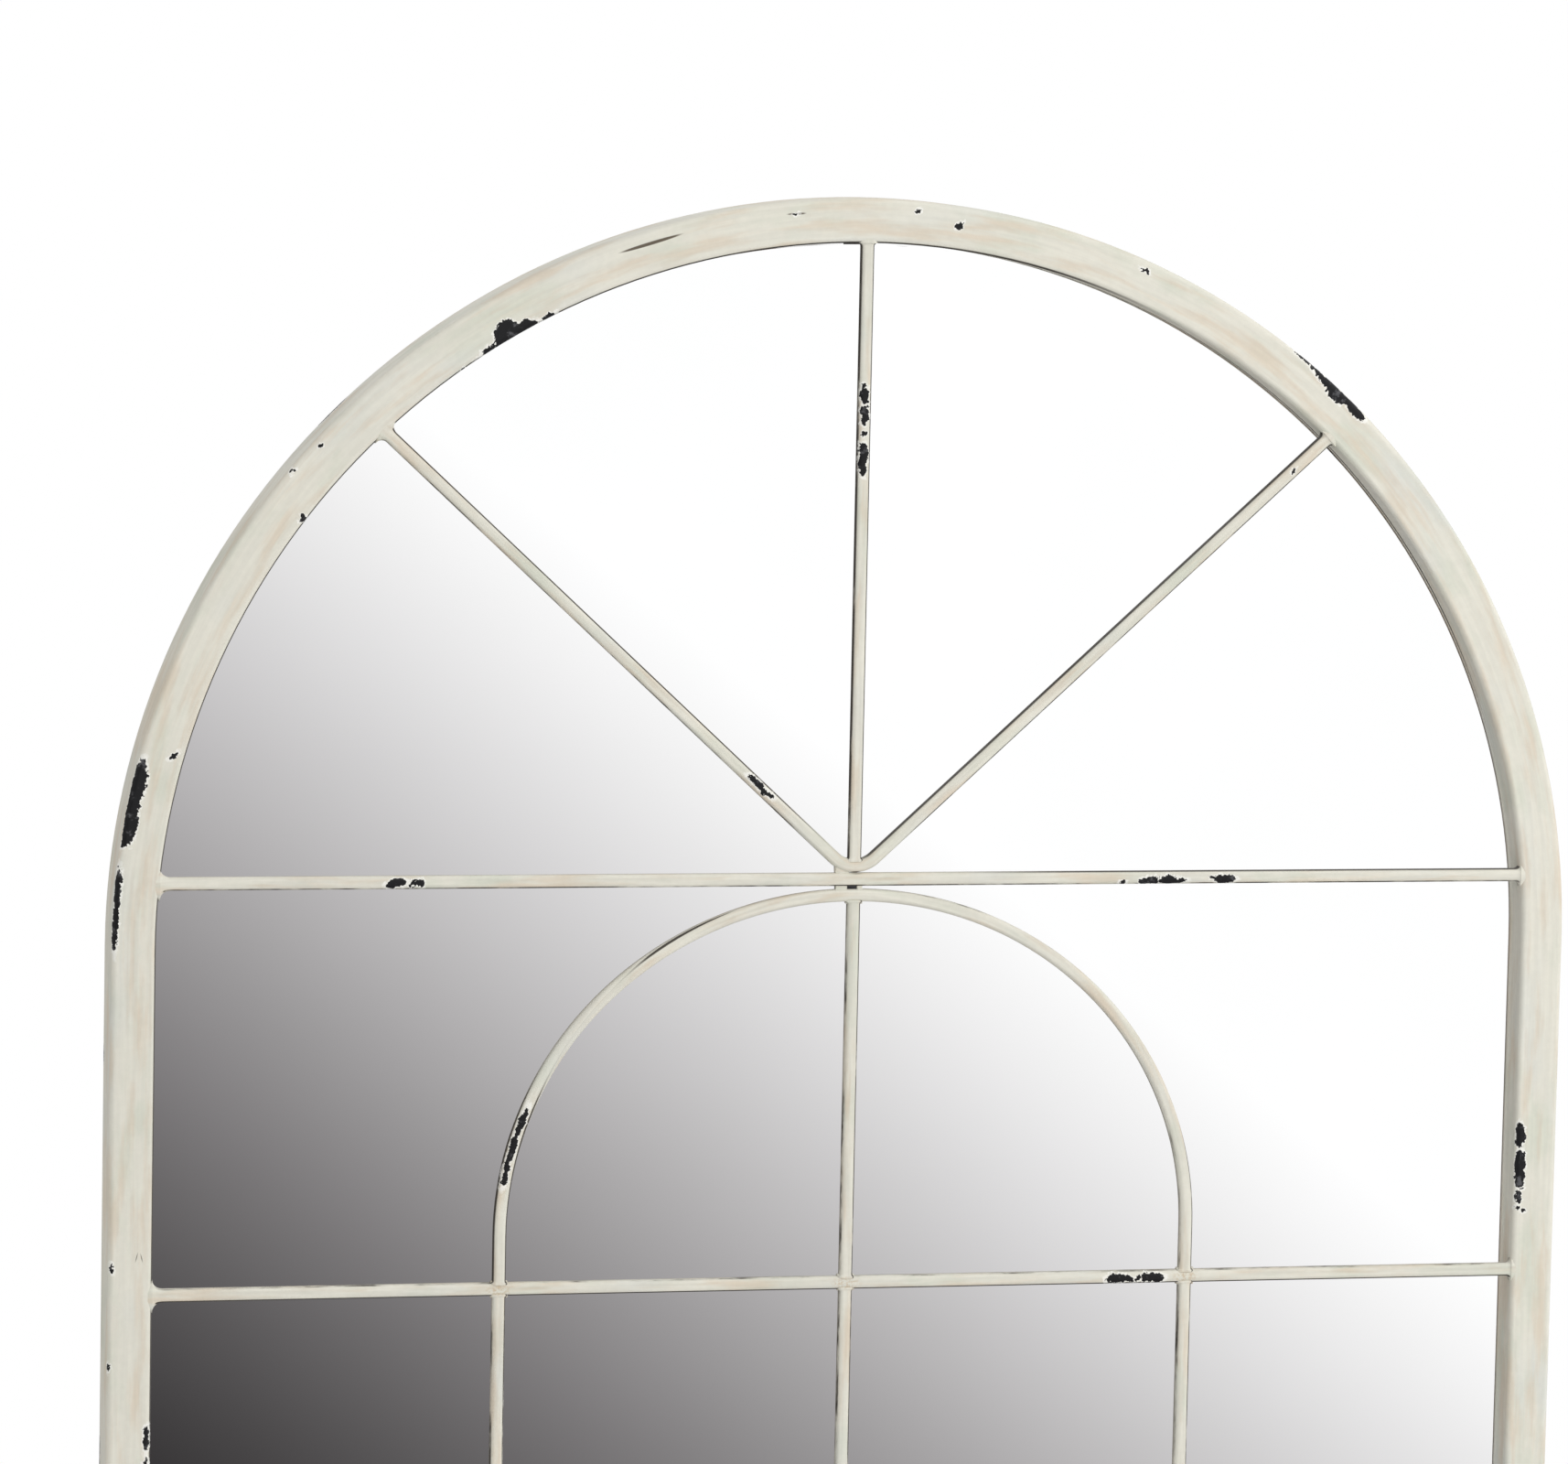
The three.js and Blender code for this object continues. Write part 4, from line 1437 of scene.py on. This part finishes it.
BAR_EDGES = {
    "transom_bar": [(shown(-1, 1), (0.04, 0.14)), (turned_away(1, 0.4), None)],
    "cross_bar_1": [(shown(-1, 0.3), None), (turned_away(1, 0.8), None)],
    "upper_centre_bar": [(shown(-1, 0.5), None), (turned_away(1, 0.95), None)],
    "v_bar": [
        (shown(-1, 1), (-0.005, 0.012)), (turned_away(-1, 0.6), (0, -0.05)),
        (shown(1, 0.35), (0, -0.05)), (turned_away(1, 0.45), (0, 0.05)),
    ],
    "inner_arch_bar": [
        (shown(1, 0.6), (0.04, 0)), (turned_away(-1, 0.65), (0.04, 0)),
        (shown(-1, 0.25), (0, 0.04)), (turned_away(1, 0.5), (0, 0.04)),
    ],
}
OTHER_EDGES = [(shown(-1, 0.35), None), (turned_away(1, 0.5), None)]
# x, z, half length, half width, turn: painted shade in the seams beside the foot of the V
BAR_SEAM_SHADES = {
    "v_bar": [(1, 945, 7, 0.9, 0), (-0.6, 952.8, 4.4, 0.8, 0)],
    "transom_bar": [(1.5, 944.3, 6, 0.6, 0)],
}
bar_paints = {}
for node in [*bars, "welds"]:
    smudges = SMUDGES if node not in ("v_bar", "upper_centre_bar") else ()
    bar_paints[node] = painted_material(
        f"paint of {node}", on_face(BAR_CHIPS.get(node, []), bar_front_y), 0.75, 1,
        BAR_EDGES.get(node, OTHER_EDGES), smudges,
        on_face(BAR_SEAM_SHADES.get(node, []), bar_front_y), back_shade=0.75,
    )
print(f"{len(bar_paints) + 2} painted materials")

# %% [markdown]
# ## The other finishes
#
# The mirror is a sheet of metal to the renderer: a smooth metallic shader with almost no
# roughness. Dust makes its roughness change very slightly. The fibreboard is brown and fibrous,
# the lugs and hangers are black steel, and the screws are zinc plated.

# %% Mirror
CLEAR = (0.985, 0.985, 0.988, 1)
HAZY = (0.978, 0.98, 0.98, 1)

mirror_finish, tree, shader, position = new_material("silvered glass")
haze = noise(tree, position, 6, 4, 0.6)
colour = blend_colour(tree, ramp(tree, haze, 0.3, 0.7), CLEAR, HAZY)
coat_shader(tree, shader, colour, ramp(tree, haze, 0.35, 0.75, 0, 0.02))
shader.inputs["Metallic"].default_value = 1

# %% Fibreboard, black steel and zinc
board_finish, tree, shader, position = new_material("fibreboard")
fibres = noise(tree, vector_calc(tree, "MULTIPLY", position, (1, 1, 0.35)), 420, 5, 0.7)
clouds = noise(tree, position, 7, 3)
colour = blend_colour(tree, ramp(tree, fibres, 0.3, 0.7), srgb(122, 92, 63), srgb(163, 130, 95))
colour = blend_colour(tree, ramp(tree, clouds, 0.3, 0.75, 0, 0.45), colour, srgb(140, 104, 70))
rough = ramp(tree, fibres, 0.2, 0.8, 0.75, 0.95)
coat_shader(tree, shader, colour, rough, fibres, 0.1 * MM, 0.6)
shader.inputs["Specular IOR Level"].default_value = 0.2

steel_finish, tree, shader, position = new_material("black steel")
peel = noise(tree, position, 700, 3, 0.6)
wear = noise(tree, position, 120, 4, 0.65)
worn = ramp(tree, wear, 0.55, 0.75, 0, 0.5)
colour = blend_colour(tree, worn, srgb(38, 38, 41), srgb(88, 84, 80))
coat_shader(tree, shader, colour, ramp(tree, wear, 0.3, 0.7, 0.35, 0.6), peel, 0.05 * MM, 0.7)

zinc_finish, tree, shader, position = new_material("zinc plating")
spangle = noise(tree, position, 900, 3, 0.6)
share = ramp(tree, spangle, 0.3, 0.7)
colour = blend_colour(tree, share, srgb(176, 178, 176), srgb(204, 202, 190))
coat_shader(tree, shader, colour, ramp(tree, spangle, 0.2, 0.8, 0.25, 0.42))
shader.inputs["Metallic"].default_value = 1
print(f"{len(bpy.data.materials)} materials")

# %% [markdown]
# ## Putting the pieces on the frame
#
# Every new piece rides on the one body of the mirror and stands for its solid, which is hidden.
# The fibreboard keeps its own solid, whose shape is already right, and only takes the new
# material.

# %% Finish and solid of each piece
def dress(piece, finish, slot, *nodes):
    piece.data.materials.clear()
    piece.data.materials.append(finish)
    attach(piece, "root")
    if nodes:
        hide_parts(*nodes)


finishes = {"outer_frame": tube_paint, "bottom_rail": rail_paint, **bar_paints}
for node, piece in painted.items():
    dress(piece, finishes.get(node, bar_paints["welds"]), "aged_paint", node)
dress(joint_beads, bar_paints["welds"], "aged_paint")
# The dark block of painted shade in the crown gap takes the black steel.
dress(crown_gap_shade, steel_finish, "black_steel")
dress(mirror, mirror_finish, "mirror_sheet", "mirror_glass")
for node, piece in fittings.items():
    is_screw = node in screws
    dress(piece, zinc_finish if is_screw else steel_finish,
          "zinc_screw" if is_screw else "black_steel", node)

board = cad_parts["backing_board"]
for slot in board.material_slots:
    slot.material = board_finish
print(f"{len(painted) + len(fittings) + 2} pieces on the body, and the board")

# %% [markdown]
# ## Studio
#
# The photograph is a plain product shot: white all round, soft light from the upper right, and a
# mirror that was retouched so that it shows one smooth gradient and none of the bars. The world
# gives all three. Camera rays see white. Rays that leave the mirror see a gradient that depends
# only on their direction, from a dark grey low on the left to white. Every other ray sees an even
# grey, which is the fill light.

# %% The world
FILL = 0.7
GRADIENT_TILT = math.radians(52)
LEAST_TOWARD = 0.05  # keeps a ray that runs along the mirror from dividing by zero
# The level on screen rises from about 64 to about 253 as the slant goes from -0.08 to 0.055.
# This cubic follows the gradient of the photograph.
CUBIC = (-30843, -3381, 1467.7, 187.2)
DARKEST_SLANT = -0.115
WHITEST_SLANT = 0.075
FAR_LEVEL = 30  # the level past the dark end, which only other views show
FAR_RISE = 150  # how much lighter it turns from there on
SOFT_JOIN = 12  # levels over which the two run into each other
MIRROR_TINT = (1.05, 0.965, 1.0)  # of its darkest tones
MIRROR_SHINE = 0.982  # the share of the light that the mirror gives back

world = scene.world or bpy.data.worlds.new("studio")
scene.world = world
world.use_nodes = True
tree = world.node_tree
tree.nodes.clear()
direction = add(tree, "TexCoord").outputs["Generated"]
parts = axes(tree, direction)
toward = calc(tree, "MAXIMUM", calc(tree, "ABSOLUTE", parts["Y"]), LEAST_TOWARD)
shifts = [
    calc(tree, "MULTIPLY", calc(tree, "DIVIDE", parts[axis], toward), share)
    for axis, share in (("X", math.cos(GRADIENT_TILT)), ("Z", math.sin(GRADIENT_TILT)))
]
slant = calc(tree, "ADD", *shifts)

level = CUBIC[0]
held = calc(tree, "MINIMUM", calc(tree, "MAXIMUM", slant, DARKEST_SLANT), WHITEST_SLANT)
for factor in CUBIC[1:]:
    level = calc(tree, "MULTIPLY_ADD", level, held, factor)
far_side = calc(tree, "SUBTRACT", DARKEST_SLANT, slant)
lighter = calc(tree, "MULTIPLY_ADD", ramp(tree, far_side, -0.02, 0.9), FAR_RISE, FAR_LEVEL)
level = calc(tree, "SMOOTH_MAX", level, lighter, SOFT_JOIN)
share = calc(tree, "DIVIDE", calc(tree, "MINIMUM", level, 255), 255)
linear = calc(tree, "POWER", calc(tree, "DIVIDE", calc(tree, "ADD", share, 0.055), 1.055), 2.4)
grey = add(tree, "CombineColor", {0: linear, 1: linear, 2: linear}).outputs[0]
full_tint = vector_calc(tree, "MULTIPLY", grey, MIRROR_TINT)
tinted = blend_colour(tree, calc(tree, "SUBTRACT", 1, share), grey, full_tint)

path = add(tree, "LightPath").outputs
fill = add(tree, "Background", {"Color": (1, 1, 1, 1), "Strength": FILL})
seen = add(tree, "Background", {"Color": (1, 1, 1, 1), "Strength": 1})
reflected = add(tree, "Background", {"Color": tinted, "Strength": 1 / MIRROR_SHINE})
whole = fill
for ray, background in (("Is Glossy Ray", reflected), ("Is Camera Ray", seen)):
    values = {0: path[ray], 1: whole.outputs[0], 2: background.outputs[0]}
    whole = add(tree, "MixShader", values)
add(tree, "OutputWorld", {"Surface": whole.outputs[0]})
print(f"world: {len(tree.nodes)} nodes")

# %% The soft lamp
mirror_middle = Vector((0, front_y, (frame_low.z + frame_high.z) / 2))
lamp = bpy.data.objects.new("key", bpy.data.lights.new("key", "AREA"))
scene.collection.objects.link(lamp)
lamp.data.size = 1.6
lamp.data.energy = 60
lamp.location = (2.4, -2.6, 2.9)
lamp.rotation_euler = (mirror_middle - lamp.location).to_track_quat("-Z", "Y").to_euler()
lamp.visible_glossy = False  # the mirror shows no lamp
lamp.visible_camera = False
print(f"lamp {lamp.data.size} m wide, {(mirror_middle - lamp.location).length:.2f} m away")

# %% [markdown]
# The floor is a wide disc just under the bottom rail. Close to the mirror it is a plain pale
# surface that takes the shadow, and further out it turns to the white of the background, so that
# no edge or horizon shows behind the mirror.

# %% The floor
FLOOR_RADIUS = 6
floor = begin(bpy.ops.mesh.primitive_circle_add, "floor", vertices=96, radius=FLOOR_RADIUS,
              fill_type="NGON", location=(0, 0, rail_low.z))
floor_finish, tree, shader, position = new_material("pale floor")
shader.inputs["Base Color"].default_value = (0.86, 0.86, 0.86, 1)
shader.inputs["Roughness"].default_value = 0.9
shader.inputs["Specular IOR Level"].default_value = 0
path = add(tree, "LightPath").outputs
far = ramp(tree, length_of(tree, position), 0.6, 2.2)
fade = calc(tree, "MULTIPLY", far, path["Is Camera Ray"])
white = add(tree, "Emission", {"Color": (1, 1, 1, 1), "Strength": 1})
faded = add(tree, "MixShader", {0: fade, 1: shader.outputs[0], 2: white.outputs[0]})
tree.links.new(faded.outputs[0], tree.nodes["Material Output"].inputs["Surface"])
floor.data.materials.append(floor_finish)
floor.visible_glossy = False
floor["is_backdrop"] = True

# The photograph's mirror shows neither its bars nor its frame, so they are kept out of it.
for piece in [*every_piece, board]:
    piece.visible_glossy = False

# %% Compare the boxes and finish
visual_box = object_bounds()
growth = visual_box[1] - visual_box[0] - size
print("visual model against the solids, mm:", [round(value / MM, 2) for value in growth])
